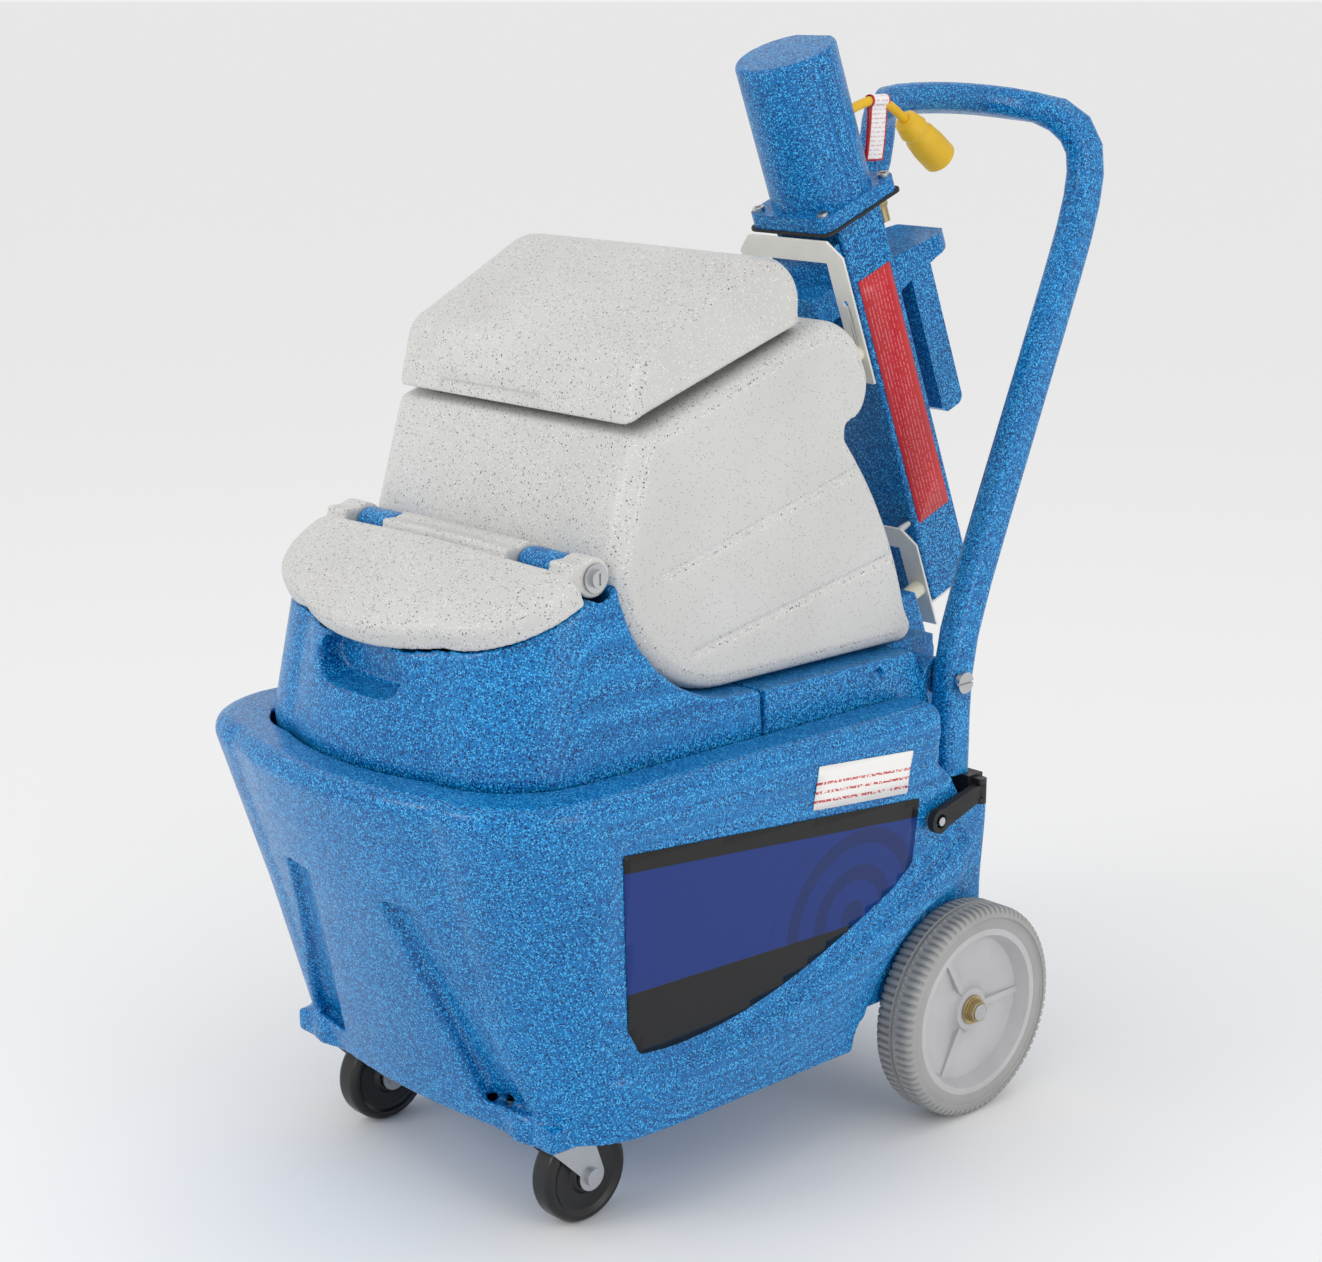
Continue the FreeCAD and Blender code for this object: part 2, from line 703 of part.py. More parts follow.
def heater_cap():
    """The flange and the round cap over the heater's connections."""
    base = heater_length + gasket_thickness
    top = base + flange_thickness
    flange = flange_plate(flange_half_width, flange_half_depth, base, top, 12)
    barrel = cylinder(cap_radius, cap_top - top, (0, 0, top), (0, 0, 1))
    flat = box(-60, 60, cap_radius - 5, cap_radius + 20, top, cap_top + 1)
    barrel = barrel.cut(flat)
    rim = [e for e in barrel.Edges if abs(e.CenterOfMass.z - cap_top) < 1e-6]
    barrel = barrel.makeFillet(5, rim)
    hollow = cylinder(cap_radius - 8, cap_top - 4 - base, (0, 0, base), (0, 0, 1))
    cap = flange.fuse(barrel).cut(hollow)
    for x, y in flange_screw_points():
        cap = cap.cut(cylinder(2.6, 40, (x, y, base - 1), (0, 0, 1)))
    gland = cylinder(5, 30, (0, cap_radius - 20, cord_gland_height), (0, 1, 0))
    return tower(cap.cut(gland))


def flange_screws():
    top = heater_length + gasket_thickness + flange_thickness
    solids = []
    for x, y in flange_screw_points():
        shank = cylinder(2.5, top - heater_length, (x, y, heater_length), (0, 0, 1))
        head = cylinder(5.5, 3.5, (x, y, top), (0, 0, 1))
        cross = box(x - 4, x + 4, y - 0.7, y + 0.7, top + 2, top + 4)
        cross = cross.fuse(box(x - 0.7, x + 0.7, y - 4, y + 4, top + 2, top + 4))
        solids.append(tower(shank.fuse(head).cut(cross)))
    return Part.makeCompound(solids)


def thermostat_cover():
    """The stepped cover on the tower's front face, which shows through the upper bracket."""
    back = tower_box(40, -46, -heater_half_depth, 296, 388, 3)
    step = tower_box(37, -78, -46, 322, 352, 3)
    drop = tower_box(24, -66, -46, 298, 322, 3)
    return tower(joined([back, step, drop]))


def bracket_plate(z0, z1, window, holes):
    """A flat frame with chamfered upper corners, a window and screw holes."""
    chamfer = 16.0
    half = bracket_half_width
    start = (-half, z0)
    steps = [(half, z0), (half, z1 - chamfer), (half - chamfer, z1), (-half + chamfer, z1),
             (-half, z1 - chamfer)]
    wire = outline(start, steps, lambda p: vec(p[0], -bracket_plane, p[1]))
    plate = Part.Face(wire).extrude(vec(0, bracket_thickness, 0))
    plate = plate.cut(box(-window[0], window[0], -80, -40, window[1], window[2]))
    for x, z in holes:
        plate = plate.cut(cylinder(3.0, 40, (x, -80, z), (0, 1, 0)))
    return plate


def upper_bracket():
    return tower(bracket_plate(258, 402, (44, 294, 380),
                               upper_spacer_points() + [(-55, 340), (55, 340)]))


def lower_bracket():
    """The lower frame, whose shelf carries the foot of the tower."""
    plate = bracket_plate(-8, 98, (42, 14, 76), lower_spacer_points())
    shelf = box(-heater_half_width, heater_half_width, -bracket_plane, heater_half_depth, -2.5, 0)
    return tower(plate.fuse(shelf).removeSplitter())


def bracket_standoffs():
    """Steel spacers that hold both plates off the tower's front face."""
    solids = []
    length = bracket_plane - bracket_thickness - heater_half_depth
    for x in (-34, 34):
        for z in (88, 276):
            solids.append(tower(cylinder(5, length, (x, -heater_half_depth - length, z), (0, 1, 0))))
    return Part.makeCompound(solids)


def nylon_spacers():
    solids = []
    for points, length in ((upper_spacer_points(), upper_spacer_length),
                           (lower_spacer_points(), pedestal_plane - bracket_plane)):
        for x, z in points:
            spacer = cylinder(spacer_radius, length, (x, -bracket_plane - length, z), (0, 1, 0))
            solids.append(tower(spacer))
    return Part.makeCompound(solids)


def cord_hook():
    """A wing with a rounded nose and a hanging block, for winding a cord round."""
    half = 36.0
    start = (heater_half_depth, 342)
    steps = [(112, 334), ((122, 326), (112, 317)), (82, 314), (82, 176), ((80, 168), (72, 165)),
             (58, 165), (52, 171), (52, 310), (heater_half_depth, 306)]
    wire = outline(start, steps, lambda p: vec(-half, p[0], p[1]))
    hook = Part.Face(wire).extrude(vec(2 * half, 0, 0))
    trims = box(-half - 1, -half + 22, 90, 130, 300, 350)
    trims = trims.cut(cylinder(24, 60, (-half + 24, 98, 300), (0, 0, 1)))
    hook = hook.cut(trims).cut(mirrored(trims))
    return tower(hook)


def brass_elbow():
    hexagon = Part.Face(Part.makePolygon([
        vec(30 + 7 * math.cos(k * math.pi / 3), heater_half_depth,
            394 + 7 * math.sin(k * math.pi / 3)) for k in range(7)])).extrude(vec(0, 6, 0))
    barrel = cylinder(5.5, 16, (30, heater_half_depth, 394), (0, 1, 0))
    elbow = cylinder(5.5, 18, (30, heater_half_depth + 12, 376), (0, 0, 1))
    return tower(joined([hexagon, barrel, elbow]))


def strain_relief():
    """A tapered rubber bush where the lead leaves the cap."""
    body = Part.makeCone(7.5, 6.0, cord_gland_length, vec(0, cap_radius - 5, cord_gland_height),
                         vec(0, 1, 0))
    neck = cylinder(5, 8, (0, cap_radius - 13, cord_gland_height), (0, 1, 0))
    return tower(body.fuse(neck))


# ---------------------------------------------------------------- lead and its connector
# the lead's route, in the machine's middle plane, as (y, z) points
cord_start = tower_point(0, cap_radius - 5 + cord_gland_length, cord_gland_height)
cord_points = [(cord_start.y, cord_start.z), (232.0, 926.2), (260.5, 922.6), (283.5, 906.0)]


def runs_with_arcs(points):
    """A path of straight runs joined by tangent arcs, with the arcs' radii."""
    place = [vec(0, y, z) for y, z in points]
    edges, radii = [], []
    here = place[0]
    for before, corner, after in zip(place, place[1:], place[2:]):
        way_in = (corner - before).normalize()
        way_out = (after - corner).normalize()
        turn = way_in.getAngle(way_out)
        reach = 0.45 * min((corner - before).Length, (after - corner).Length)
        radii.append(reach / math.tan(turn / 2))
        first, last = corner - way_in * reach, corner + way_out * reach
        sag = radii[-1] * (1 / math.cos(turn / 2) - 1)
        inward = (way_out - way_in).normalize()
        edges.append(Part.LineSegment(here, first).toShape())
        edges.append(Part.Arc(first, corner + inward * sag, last).toShape())
        here = last
    edges.append(Part.LineSegment(here, place[-1]).toShape())
    return Part.Wire(edges), radii


def pigtail_cord():
    path, radii = runs_with_arcs(cord_points)
    start, second = (vec(0, *p) for p in cord_points[:2])
    section = Part.Wire([Part.Circle(start, second - start, cord_diameter / 2).toShape()])
    tube = path.makePipeShell([section], True, False)
    print("cord length", round(path.Length, 1), "radii", [round(r, 1) for r in radii])
    print("cord volume", round(tube.Volume), "expected",
          round(math.pi * (cord_diameter / 2) ** 2 * path.Length))
    return tube


def connector_axis():
    before, end = (vec(0, *p) for p in cord_points[-2:])
    return end, (end - before).normalize()


def cord_connector():
    """A moulded female connector with a gripping waist and a collar."""
    end, way = connector_axis()
    length, radius = connector_length, connector_radius
    start = (0.0, 0.0)
    steps = [(0.0, 7.5), (3.0, 11.5), (17.0, 14.5), ((23.0, 13.4), (29.0, radius - 1.5)),
             (length - 27, radius - 0.5), (length - 25, radius), (length - 3, radius),
             (length, radius - 3), (length, 0.0)]
    wire = outline(start, steps, lambda p: end + way * p[0] + vec(1, 0, 0) * p[1])
    return Part.Face(wire).revolve(end, way, 360)


def cord_tag():
    """A tag wrapped round the lead, both leaves hanging together."""
    first, second = (vec(0, *p) for p in cord_points[1:3])
    way = (second - first).normalize()
    middle = (first + second) * 0.5
    radius = cord_diameter / 2 + 0.8
    ring = Part.makeCylinder(radius + 1, 8, middle - way * 4, way)
    neck = box(-1.0, 1.0, middle.y - 4, middle.y + 4, middle.z - 14, middle.z - radius - 0.4)
    leaf = box(-1.0, 1.0, middle.y - 12, middle.y + 12, middle.z - 58, middle.z - 10).fuse(neck)
    leaf.rotate(middle, vec(0, 1, 0), 12)
    return ring.fuse(leaf).cut(Part.makeCylinder(radius, 40, middle - way * 20, way))


# ---------------------------------------------------------------- handle
def handle_curve():
    """The loop's centre line: a smooth curve led by points from one arm's foot to the other's."""
    half = [
        (arm_x, 144, arm_foot_z), (arm_x, 144, 368), (arm_x, 143, 412), (arm_x - 4, 157, 466),
        (180, 216, 560), (164, 278, 655), (150, 334, 742), (141, 373, 806), (136, 392, 850),
        (133, 394, 888), (115, 376, 914), (78, 357, 920), (38, 354, 923),
    ]
    poles = [vec(*p) for p in half]
    poles += [vec(0, 353.5, 924)] + [vec(-p.x, p.y, p.z) for p in reversed(poles)]
    curve = Part.BSplineCurve()
    count = len(poles)
    curve.buildFromPolesMultsKnots(poles, [4] + [1] * (count - 4) + [4],
                                   list(range(count - 2)), False, 3)
    return curve


def arm_share(point):
    """1 on the arms, 0 on the middle of the bar, and between them round the corners."""
    return min(max((abs(point.x) - 80) / 50, 0.0), 1.0)


def handle_section(point, tangent, width, depth):
    """A rounded oblong square to the path; its width lies towards the outside of the loop."""
    share = arm_share(point)
    outward = vec(math.copysign(share, point.x), 0, 0) + vec(0, 0.3, 0.95) * (1 - share)
    outward = (outward - tangent * outward.dot(tangent)).normalize()
    across_way = tangent.cross(outward).normalize()
    u, v, r = width / 2, depth / 2, handle_edge
    turn = r * (1 - math.sqrt(0.5))
    start = (u, v - r)
    steps = []
    for su, sv in ((1, 1), (-1, 1), (-1, -1), (1, -1)):
        side, cap = (su * u, sv * (v - r)), (su * (u - r), sv * v)
        first, last = (side, cap) if su * sv > 0 else (cap, side)
        if steps:
            steps.append(first)
        steps.append(((su * (u - turn), sv * (v - turn)), last))
    return outline(start, steps, lambda p: point + outward * p[0] + across_way * p[1])


def handle():
    curve = handle_curve()
    stations = 40
    wires = []
    for k in range(stations + 1):
        parameter = curve.FirstParameter + (curve.LastParameter - curve.FirstParameter) * k / stations
        point = curve.value(parameter)
        tangent = curve.tangent(parameter)[0].normalize()
        depth = bar_depth + (arm_depth - bar_depth) * arm_share(point)
        wires.append(handle_section(point, tangent, arm_width, depth))
    loop = Part.makeLoft(wires, True, True)
    bore = across(bolt_radius + running_gap, -overall_width, overall_width, pivot_y, pivot_z)
    for side in (-1, 1):
        screw = cylinder(latch_screw_radius, 20, (side * arm_x, strap_y + 3, arm_foot_z - 2), (0, 0, 1))
        loop = loop.cut(screw)
    return loop.cut(bore)


def handle_bolts():
    """Pivot bolts: shank through the arm and into the housing's boss, slotted round head."""
    solids = []
    for side in (-1, 1):
        inner = side * (core_half_width - 20)
        outer = side * (arm_x + arm_width / 2 + 0.5)
        shank = across(bolt_radius, *sorted((inner, outer)), pivot_y, pivot_z)
        head = across(10, *sorted((outer, outer + side * 5)), pivot_y, pivot_z)
        slot = box(*sorted((outer + side * 3, outer + side * 6)), pivot_y - 11, pivot_y + 11,
                   pivot_z - 1, pivot_z + 1)
        solids.append(shank.fuse(head).cut(slot))
    return Part.makeCompound(solids)


def latch_brackets():
    """Blocks under the arms' feet, each with two lugs and the upright pin of a strap."""
    solids = []
    pin_x = strap_x + strap_thickness / 2
    for side in (-1, 1):
        block = box(*sorted((side * (arm_x - 6), side * (pin_x - 7))), strap_y - 10, strap_y + 10,
                    strap_z - 6, arm_foot_z)
        pieces = [block]
        for z0, z1 in ((strap_z - 12, strap_z - 6.5), (strap_z + 6.5, arm_foot_z - 2)):
            pieces.append(box(*sorted((side * (arm_x + 8), side * pin_x)), strap_y - 5, strap_y + 5, z0, z1))
            pieces.append(cylinder(5, z1 - z0, (side * pin_x, strap_y, z0), (0, 0, 1)))
        pieces.append(cylinder(latch_pin_radius, arm_foot_z - strap_z + 10,
                               (side * pin_x, strap_y, strap_z - 12), (0, 0, 1)))
        bracket = joined(pieces)
        hole = cylinder(latch_screw_radius, 40, (side * arm_x, strap_y + 3, strap_z - 8), (0, 0, 1))
        solids.append(bracket.cut(hole))
    return Part.makeCompound(solids)


def latch_screws():
    """Screws that fasten the brackets up into the arms' feet."""
    solids = []
    for side in (-1, 1):
        shank = cylinder(latch_screw_radius, arm_foot_z - strap_z + 18,
                         (side * arm_x, strap_y + 3, strap_z - 6), (0, 0, 1))
        head = cylinder(6, 3.5, (side * arm_x, strap_y + 3, strap_z - 9.5), (0, 0, 1))
        solids.append(shank.fuse(head))
    return Part.makeCompound(solids)


def latch_strap(side):
    """A rubber latch strap: a knuckle on the upright pin, a bar and an eye over the keeper."""
    x0, x1 = sorted((side * strap_x, side * (strap_x + strap_thickness)))
    knuckle = cylinder(5, 12, (side * (strap_x + strap_thickness / 2), strap_y, strap_z - 6), (0, 0, 1))
    eye = across(strap_eye_radius, x0, x1, keeper_y, keeper_z)
    corners = [vec(x0, strap_y, strap_z - 6), vec(x0, strap_y, strap_z + 6),
               vec(x0, strap_y - 14, strap_z + 6), vec(x0, keeper_y, keeper_z + strap_eye_radius - 1),
               vec(x0, keeper_y, keeper_z - strap_eye_radius + 1), vec(x0, strap_y - 14, strap_z - 12)]
    bar = Part.Face(Part.makePolygon(corners + corners[:1])).extrude(vec(x1 - x0, 0, 0))
    room = cylinder(latch_pin_radius + running_gap, 40,
                    (side * (strap_x + strap_thickness / 2), strap_y, strap_z - 20), (0, 0, 1))
    strap = joined([bar, eye, knuckle]).cut(room)
    lug_room = joined([box(*sorted((side * (strap_x - 8), side * (strap_x + 16))), strap_y - 7, strap_y + 7,
                           z0, z0 + 14) for z0 in (strap_z - 20.2, strap_z + 6.2)])
    return strap.cut(lug_room).cut(across(keeper_radius + 2.6, -300, 300, keeper_y, keeper_z))


def latch_keepers():
    """Pegs on the tub's flanks that the straps' eyes close over."""
    solids = []
    for side in (-1, 1):
        base, tip = side * (rim_half_width - 24), side * (strap_x + strap_thickness + 1)
        solids.append(across(keeper_radius, *sorted((base, tip)), keeper_y, keeper_z))
    return Part.makeCompound(solids)


# ---------------------------------------------------------------- rear wheels
def rear_axle():
    shaft = across(axle_radius, -overall_width / 2 + 1, overall_width / 2 - 1, axle_y, wheel_radius)
    inner = overall_width / 2 - tyre_width
    for side in (-1, 1):
        collar = across(13, *sorted((side * (inner - 9), side * (inner - 2.5))), axle_y, wheel_radius)
        shaft = shaft.fuse(collar)
    return shaft


def axle_brackets():
    """Saddles that hold the axle under the tub's rear floor."""
    solids = []
    for side in (-1, 1):
        x0, x1 = sorted((side * 140, side * 164))
        saddle = box(x0, x1, axle_y - 26, axle_y + 26, wheel_radius - 5, tub_rear_floor_z)
        saddle = saddle.fuse(across(15, x0, x1, axle_y, wheel_radius))
        solids.append(saddle.cut(across(axle_radius + running_gap, -300, 300, axle_y, wheel_radius)))
    return Part.makeCompound(solids)


def axle_nuts():
    """A washer and a hexagon nut on each end of the axle."""
    solids = []
    seat = overall_width / 2 - hub_inset
    for side in (-1, 1):
        washer = across(14, *sorted((side * seat, side * (seat + 2))), axle_y, wheel_radius)
        corners = [vec(side * (seat + 2), axle_y + 11 * math.cos(k * math.pi / 3),
                       wheel_radius + 11 * math.sin(k * math.pi / 3)) for k in range(7)]
        nut = Part.Face(Part.makePolygon(corners)).extrude(vec(side * 7.5, 0, 0))
        solids.append(washer.fuse(nut).cut(across(axle_radius, -300, 300, axle_y, wheel_radius)))
    return Part.makeCompound(solids)


def wheel_hub(side):
    """A dished disc with a boss, a rim and three ribs."""
    outer = overall_width / 2
    bore = axle_radius + running_gap
    start = (outer - 45, bore)
    steps = [(outer - 45, 20), (outer - 26, 23), (outer - 26, 66), (outer - 41, 70), (outer - 41, rim_radius),
             (outer - 3, rim_radius), (outer - 3, 74), (outer - 17, 68), (outer - 20, 28),
             ((outer - 16, 22), (outer - 12, 20)), (outer - 12, bore)]
    hub = revolved_about_x(start, steps, axle_y, wheel_radius)
    for k in range(3):
        rib = box(outer - 22, outer - 15, axle_y - 3, axle_y + 3, wheel_radius + 20, wheel_radius + 71)
        rib.rotate(vec(0, axle_y, wheel_radius), vec(1, 0, 0), 120 * k + 30)
        hub = hub.fuse(rib)
    hub = hub.removeSplitter()
    return hub if side > 0 else mirrored(hub)


def tyre(side):
    """A solid tyre with a rounded shoulder and a centre groove."""
    outer = overall_width / 2
    inner = outer - tyre_width
    shoulder = wheel_radius - 6
    middle = outer - tyre_width / 2
    start = (inner + 3, rim_radius)
    steps = [(inner, 88), (inner, shoulder), ((inner + 2, shoulder + 4), (inner + 6, wheel_radius)),
             (middle - 3, wheel_radius), (middle - 2, wheel_radius - 3), (middle + 2, wheel_radius - 3),
             (middle + 3, wheel_radius), (outer - 6, wheel_radius),
             ((outer - 2, shoulder + 4), (outer, shoulder)), (outer, 88), (outer - 3, rim_radius)]
    ring = revolved_about_x(start, steps, axle_y, wheel_radius)
    return ring if side > 0 else mirrored(ring)


# ---------------------------------------------------------------- casters
def caster_plates():
    """Top plates with raceways and kingpins."""
    plates = []
    half_x, half_y = caster_plate
    plate = box(caster_x - half_x, caster_x + half_x, caster_y - half_y, caster_y + half_y,
                caster_height - 3, caster_height)
    plate = plate.makeFillet(8, [e for e in plate.Edges if abs(e.BoundBox.ZLength - 3) < 1e-6])
    race = cylinder(25, 7.5, (caster_x, caster_y, caster_height - 10.5), (0, 0, 1))
    pin = cylinder(kingpin_radius, 16, (caster_x, caster_y, caster_height - 19), (0, 0, 1))
    head = cylinder(8.5, 3, (caster_x, caster_y, caster_height - 19.5), (0, 0, 1))
    plate = joined([plate, race, pin, head])
    for x, y in caster_bolt_points():
        plate = plate.cut(cylinder(caster_bolt_radius, 10, (x, y, caster_height - 6), (0, 0, 1)))
    plates = [plate, mirrored(plate)]
    return Part.makeCompound(plates)


def caster_bolt_points():
    half_x, half_y = caster_plate
    return [(caster_x + sx * (half_x - 8), caster_y + sy * (half_y - 8))
            for sx in (-1, 1) for sy in (-1, 1)]


def caster_bolts():
    solids = []
    for x, y in caster_bolt_points():
        for sign in (-1, 1):
            shank = cylinder(caster_bolt_radius, 14, (sign * x, y, caster_height - 6.5), (0, 0, 1))
            head = cylinder(6.5, 3.5, (sign * x, y, caster_height - 6.5), (0, 0, 1))
            solids.append(shank.fuse(head))
    return Part.makeCompound(solids)


def caster_fork(side):
    """The swivelling fork with its axle: a dished top, two tapering legs and a riveted pin."""
    axle = caster_y + caster_trail
    top = caster_height - 11.0
    leg_inner = caster_wheel_width / 2 + 1.5
    disc = cylinder(28, 3, (0, caster_y, top - 3), (0, 0, 1))
    fork = disc
    for sign in (-1, 1):
        x0 = leg_inner if sign > 0 else -leg_inner - 2.5
        start = (caster_y - 24, top)
        steps = [(caster_y + 26, top), (axle + 13, caster_radius + 4),
                 ((axle, caster_radius - 13), (axle - 13, caster_radius + 4)), (caster_y - 24, top - 8)]
        wire = outline(start, steps, lambda p, x0=x0: vec(x0, p[0], p[1]))
        fork = fork.fuse(Part.Face(wire).extrude(vec(2.5, 0, 0)))
    shaft = across(5, -leg_inner - 5, leg_inner + 5, axle, caster_radius)
    fork = joined([fork, shaft])
    for sign in (-1, 1):
        x0, x1 = sorted((sign * (leg_inner + 2.5), sign * (leg_inner + 6.5)))
        fork = fork.fuse(across(8, x0, x1, axle, caster_radius))
    fork = fork.cut(cylinder(kingpin_radius + running_gap, 40, (0, caster_y, top - 20), (0, 0, 1)))
    return fork.translated(vec(side * caster_x, 0, 0))


def caster_wheel(side):
    half = caster_wheel_width / 2
    start = (-half, 5 + running_gap)
    steps = [(-half, 15), (-half + 4, 18), (-half + 4, 33), (-half + 1, 37), (-half + 1, 39),
             ((-half + 4, 43.2), (-half + 8, caster_radius)), (half - 8, caster_radius),
             ((half - 4, 43.2), (half - 1, 39)), (half - 1, 37), (half - 4, 33), (half - 4, 18),
             (half, 15), (half, 5 + running_gap)]
    wheel = revolved_about_x(start, steps, caster_y + caster_trail, caster_radius)
    return wheel.translated(vec(side * caster_x, 0, 0))


# ---------------------------------------------------------------- inside
def vacuum_motor():
    """A two-stage vacuum motor: fan case below, finned motor above."""
    foot = tub_rear_floor_z + wall
    case = cylinder(72, 78, (pipe_x, 60, foot + 5), (0, 0, 1))
    body = cylinder(48, 66, (pipe_x, 60, foot + 83), (0, 0, 1))
    neck = cylinder(20, 6, (pipe_x, 60, foot), (0, 0, 1))
    return joined([case, body, neck])


def solution_pump():
    floor = tub_rear_floor_z + wall
    motor = across(38, -150, -60, 60, floor + 48)
    head = box(-60, -30, 30, 90, floor + 18, floor + 78)
    foot = box(-140, -50, 35, 85, floor, floor + 13)
    return joined([motor, head, foot])


def solution_hose():
    """The clipped hose from the pump's head to the solution tank's floor outlet."""
    radius = 7.0
    level = tub_rear_floor_z + wall + 33
    run = cylinder(radius, 190, (-45, 30, level), (0, -1, 0))
    rise = cylinder(radius, solution_floor_z - level, (-45, -160, level), (0, 0, 1))
    return joined([run, rise, sphere(radius, (-45, -160, level))])


def vacuum_standpipe():
    """A pipe from the motor up into the recovery tank, with a turned-down mouth."""
    base = 278.0
    outer = cylinder(pipe_radius, pipe_top_z - base, (pipe_x, pipe_y, base), (0, 0, 1))
    inner = cylinder(pipe_radius - pipe_wall, pipe_top_z - base, (pipe_x, pipe_y, base), (0, 0, 1))
    bends = []
    for radius in (pipe_radius, pipe_radius - pipe_wall):
        ring = Part.makeTorus(bend_radius, radius, vec(pipe_x - bend_radius, pipe_y, pipe_top_z),
                              vec(0, 1, 0))
        half = box(pipe_x - 3 * bend_radius, pipe_x + bend_radius, pipe_y - 60, pipe_y + 60,
                   pipe_top_z, pipe_top_z + 80)
        bends.append(ring.common(half))
    mouth_x = pipe_x - 2 * bend_radius
    lip = cylinder(pipe_radius, 8, (mouth_x, pipe_y, pipe_top_z - 8), (0, 0, 1))
    bore = cylinder(pipe_radius - pipe_wall, 8, (mouth_x, pipe_y, pipe_top_z - 8), (0, 0, 1))
    return joined([outer, bends[0], lip]).cut(inner).cut(bends[1]).cut(bore)


def float_cage():
    """A slotted cage below the pipe's mouth, which the float rises in."""
    x = pipe_x - 2 * bend_radius
    outer = cylinder(pipe_radius + 2.5, 66, (x, pipe_y, pipe_top_z - 68), (0, 0, 1))
    cage = outer.cut(cylinder(pipe_radius + 0.2, 64, (x, pipe_y, pipe_top_z - 65), (0, 0, 1)))
    for k in range(3):
        slot = box(-40, 40, -6, 6, pipe_top_z - 58, pipe_top_z - 14)
        slot.rotate(vec(0, 0, 0), vec(0, 0, 1), 60 * k)
        cage = cage.cut(slot.translated(vec(x, pipe_y, 0)))
    return cage


def float_ball():
    x = pipe_x - 2 * bend_radius
    return sphere(float_radius, (x, pipe_y, pipe_top_z - 64.7 + float_radius))


def vacuum_port():
    """The hose cuff on the back of the recovery tank."""
    y0, y1 = 40.0, 118.0
    cuff = cylinder(port_radius, y1 - y0, (port_x, y0, port_z), (0, 1, 0))
    collar = cylinder(port_radius + 5, 5, (port_x, 82, port_z), (0, 1, 0))
    return cuff.fuse(collar).cut(cylinder(port_bore, y1 - y0, (port_x, y0, port_z), (0, 1, 0)))


def drain_valve():
    """A ball valve on the back of the recovery tank, near its floor."""
    stub = cylinder(drain_radius, 54, (drain_x, drain_y - 32, drain_z), (0, 1, 0))
    body = cylinder(16, 24, (drain_x, drain_y, drain_z), (0, 1, 0))
    stem = cylinder(4, 14, (drain_x, drain_y + 12, drain_z + 10), (0, 0, 1))
    valve = joined([stub, body, stem])
    return valve.cut(cylinder(drain_radius - 3, 70, (drain_x, drain_y - 36, drain_z), (0, 1, 0)))


def drain_lever():
    """The valve's quarter-turn lever."""
    low = drain_z + 16.5
    lever = box(drain_x - 5, drain_x + 5, drain_y, drain_y + 50, low, low + 3.5)
    boss = cylinder(8, 5, (drain_x, drain_y + 12, low), (0, 0, 1))
    grip = box(drain_x - 7, drain_x + 7, drain_y + 26, drain_y + 54, low, low + 5.5)
    lever = joined([lever, boss, grip])
    return lever.cut(cylinder(4 + running_gap, 30, (drain_x, drain_y + 12, drain_z), (0, 0, 1)))


# ---------------------------------------------------------------- rear panel
def rear_face_y(z):
    """The rear face of the housing's core at a height."""
    low, high = (housing_floor_z, tub_rear_y - 3), (housing_bend_z, housing_bend_y)
    if z > high[0]:
        low, high = high, (housing_top_z, housing_top_y)
    share = (z - low[0]) / (high[0] - low[0])
    return low[1] + share * (high[1] - low[1])


def switch_face():
    """The switch plate's flat face."""
    return rear_face_y(switch_heights[-1] - switch_margin) + plate_rise


def switch_panel():
    """The switch plate on the back of the housing."""
    z0, z1 = switch_heights[-1] - switch_margin, switch_heights[0] + switch_margin
    plate = box(switch_x - 24, switch_x + 24, rear_face_y(z1) - 1, switch_face(), z0, z1)
    plate = plate.cut(housing_form(0.0))
    half_x, half_z = switch_size
    for z in switch_heights:
        plate = plate.cut(box(switch_x - half_x, switch_x + half_x, 150, 260, z - half_z, z + half_z))
    return plate


def rocker_switch(index):
    """A rocker that tips about a pin across its middle."""
    z, face = switch_heights[index], switch_face()
    half_x, half_z = switch_size[0] - 0.6, switch_size[1] - 1.2
    start = (face - 3, z - half_z + 1)
    steps = [(face + 2.4, z - half_z + 0.6), ((face + 0.9, z), (face + 2.4, z + half_z - 0.6)),
             (face - 3, z + half_z - 1)]
    pin = across(rocker_pin_radius, -half_x - 0.4, half_x + 0.4, face - 1, z)
    return side_profile(start, steps, half_x).fuse(pin).translated(vec(switch_x, 0, 0))


def power_inlet():
    """The recessed inlet for the power lead, with three blades."""
    face = rear_face_y(inlet_z)
    x = -switch_x
    flange = cylinder(inlet_radius, face + 6 - 170, (x, 170, inlet_z), (0, 1, 0))
    well = cylinder(inlet_bore, 60, (x, face - 10, inlet_z), (0, 1, 0))
    body = flange.cut(housing_form(0.0)).cut(well)
    blades = [box(x + dx - 1, x + dx + 1, face - 5, face + 5, inlet_z + dz - 3, inlet_z + dz + 3)
              .cut(housing_form(0.0)) for dx, dz in ((-6, 4), (6, 4), (0, -7))]
    return Part.makeCompound([body, *blades])


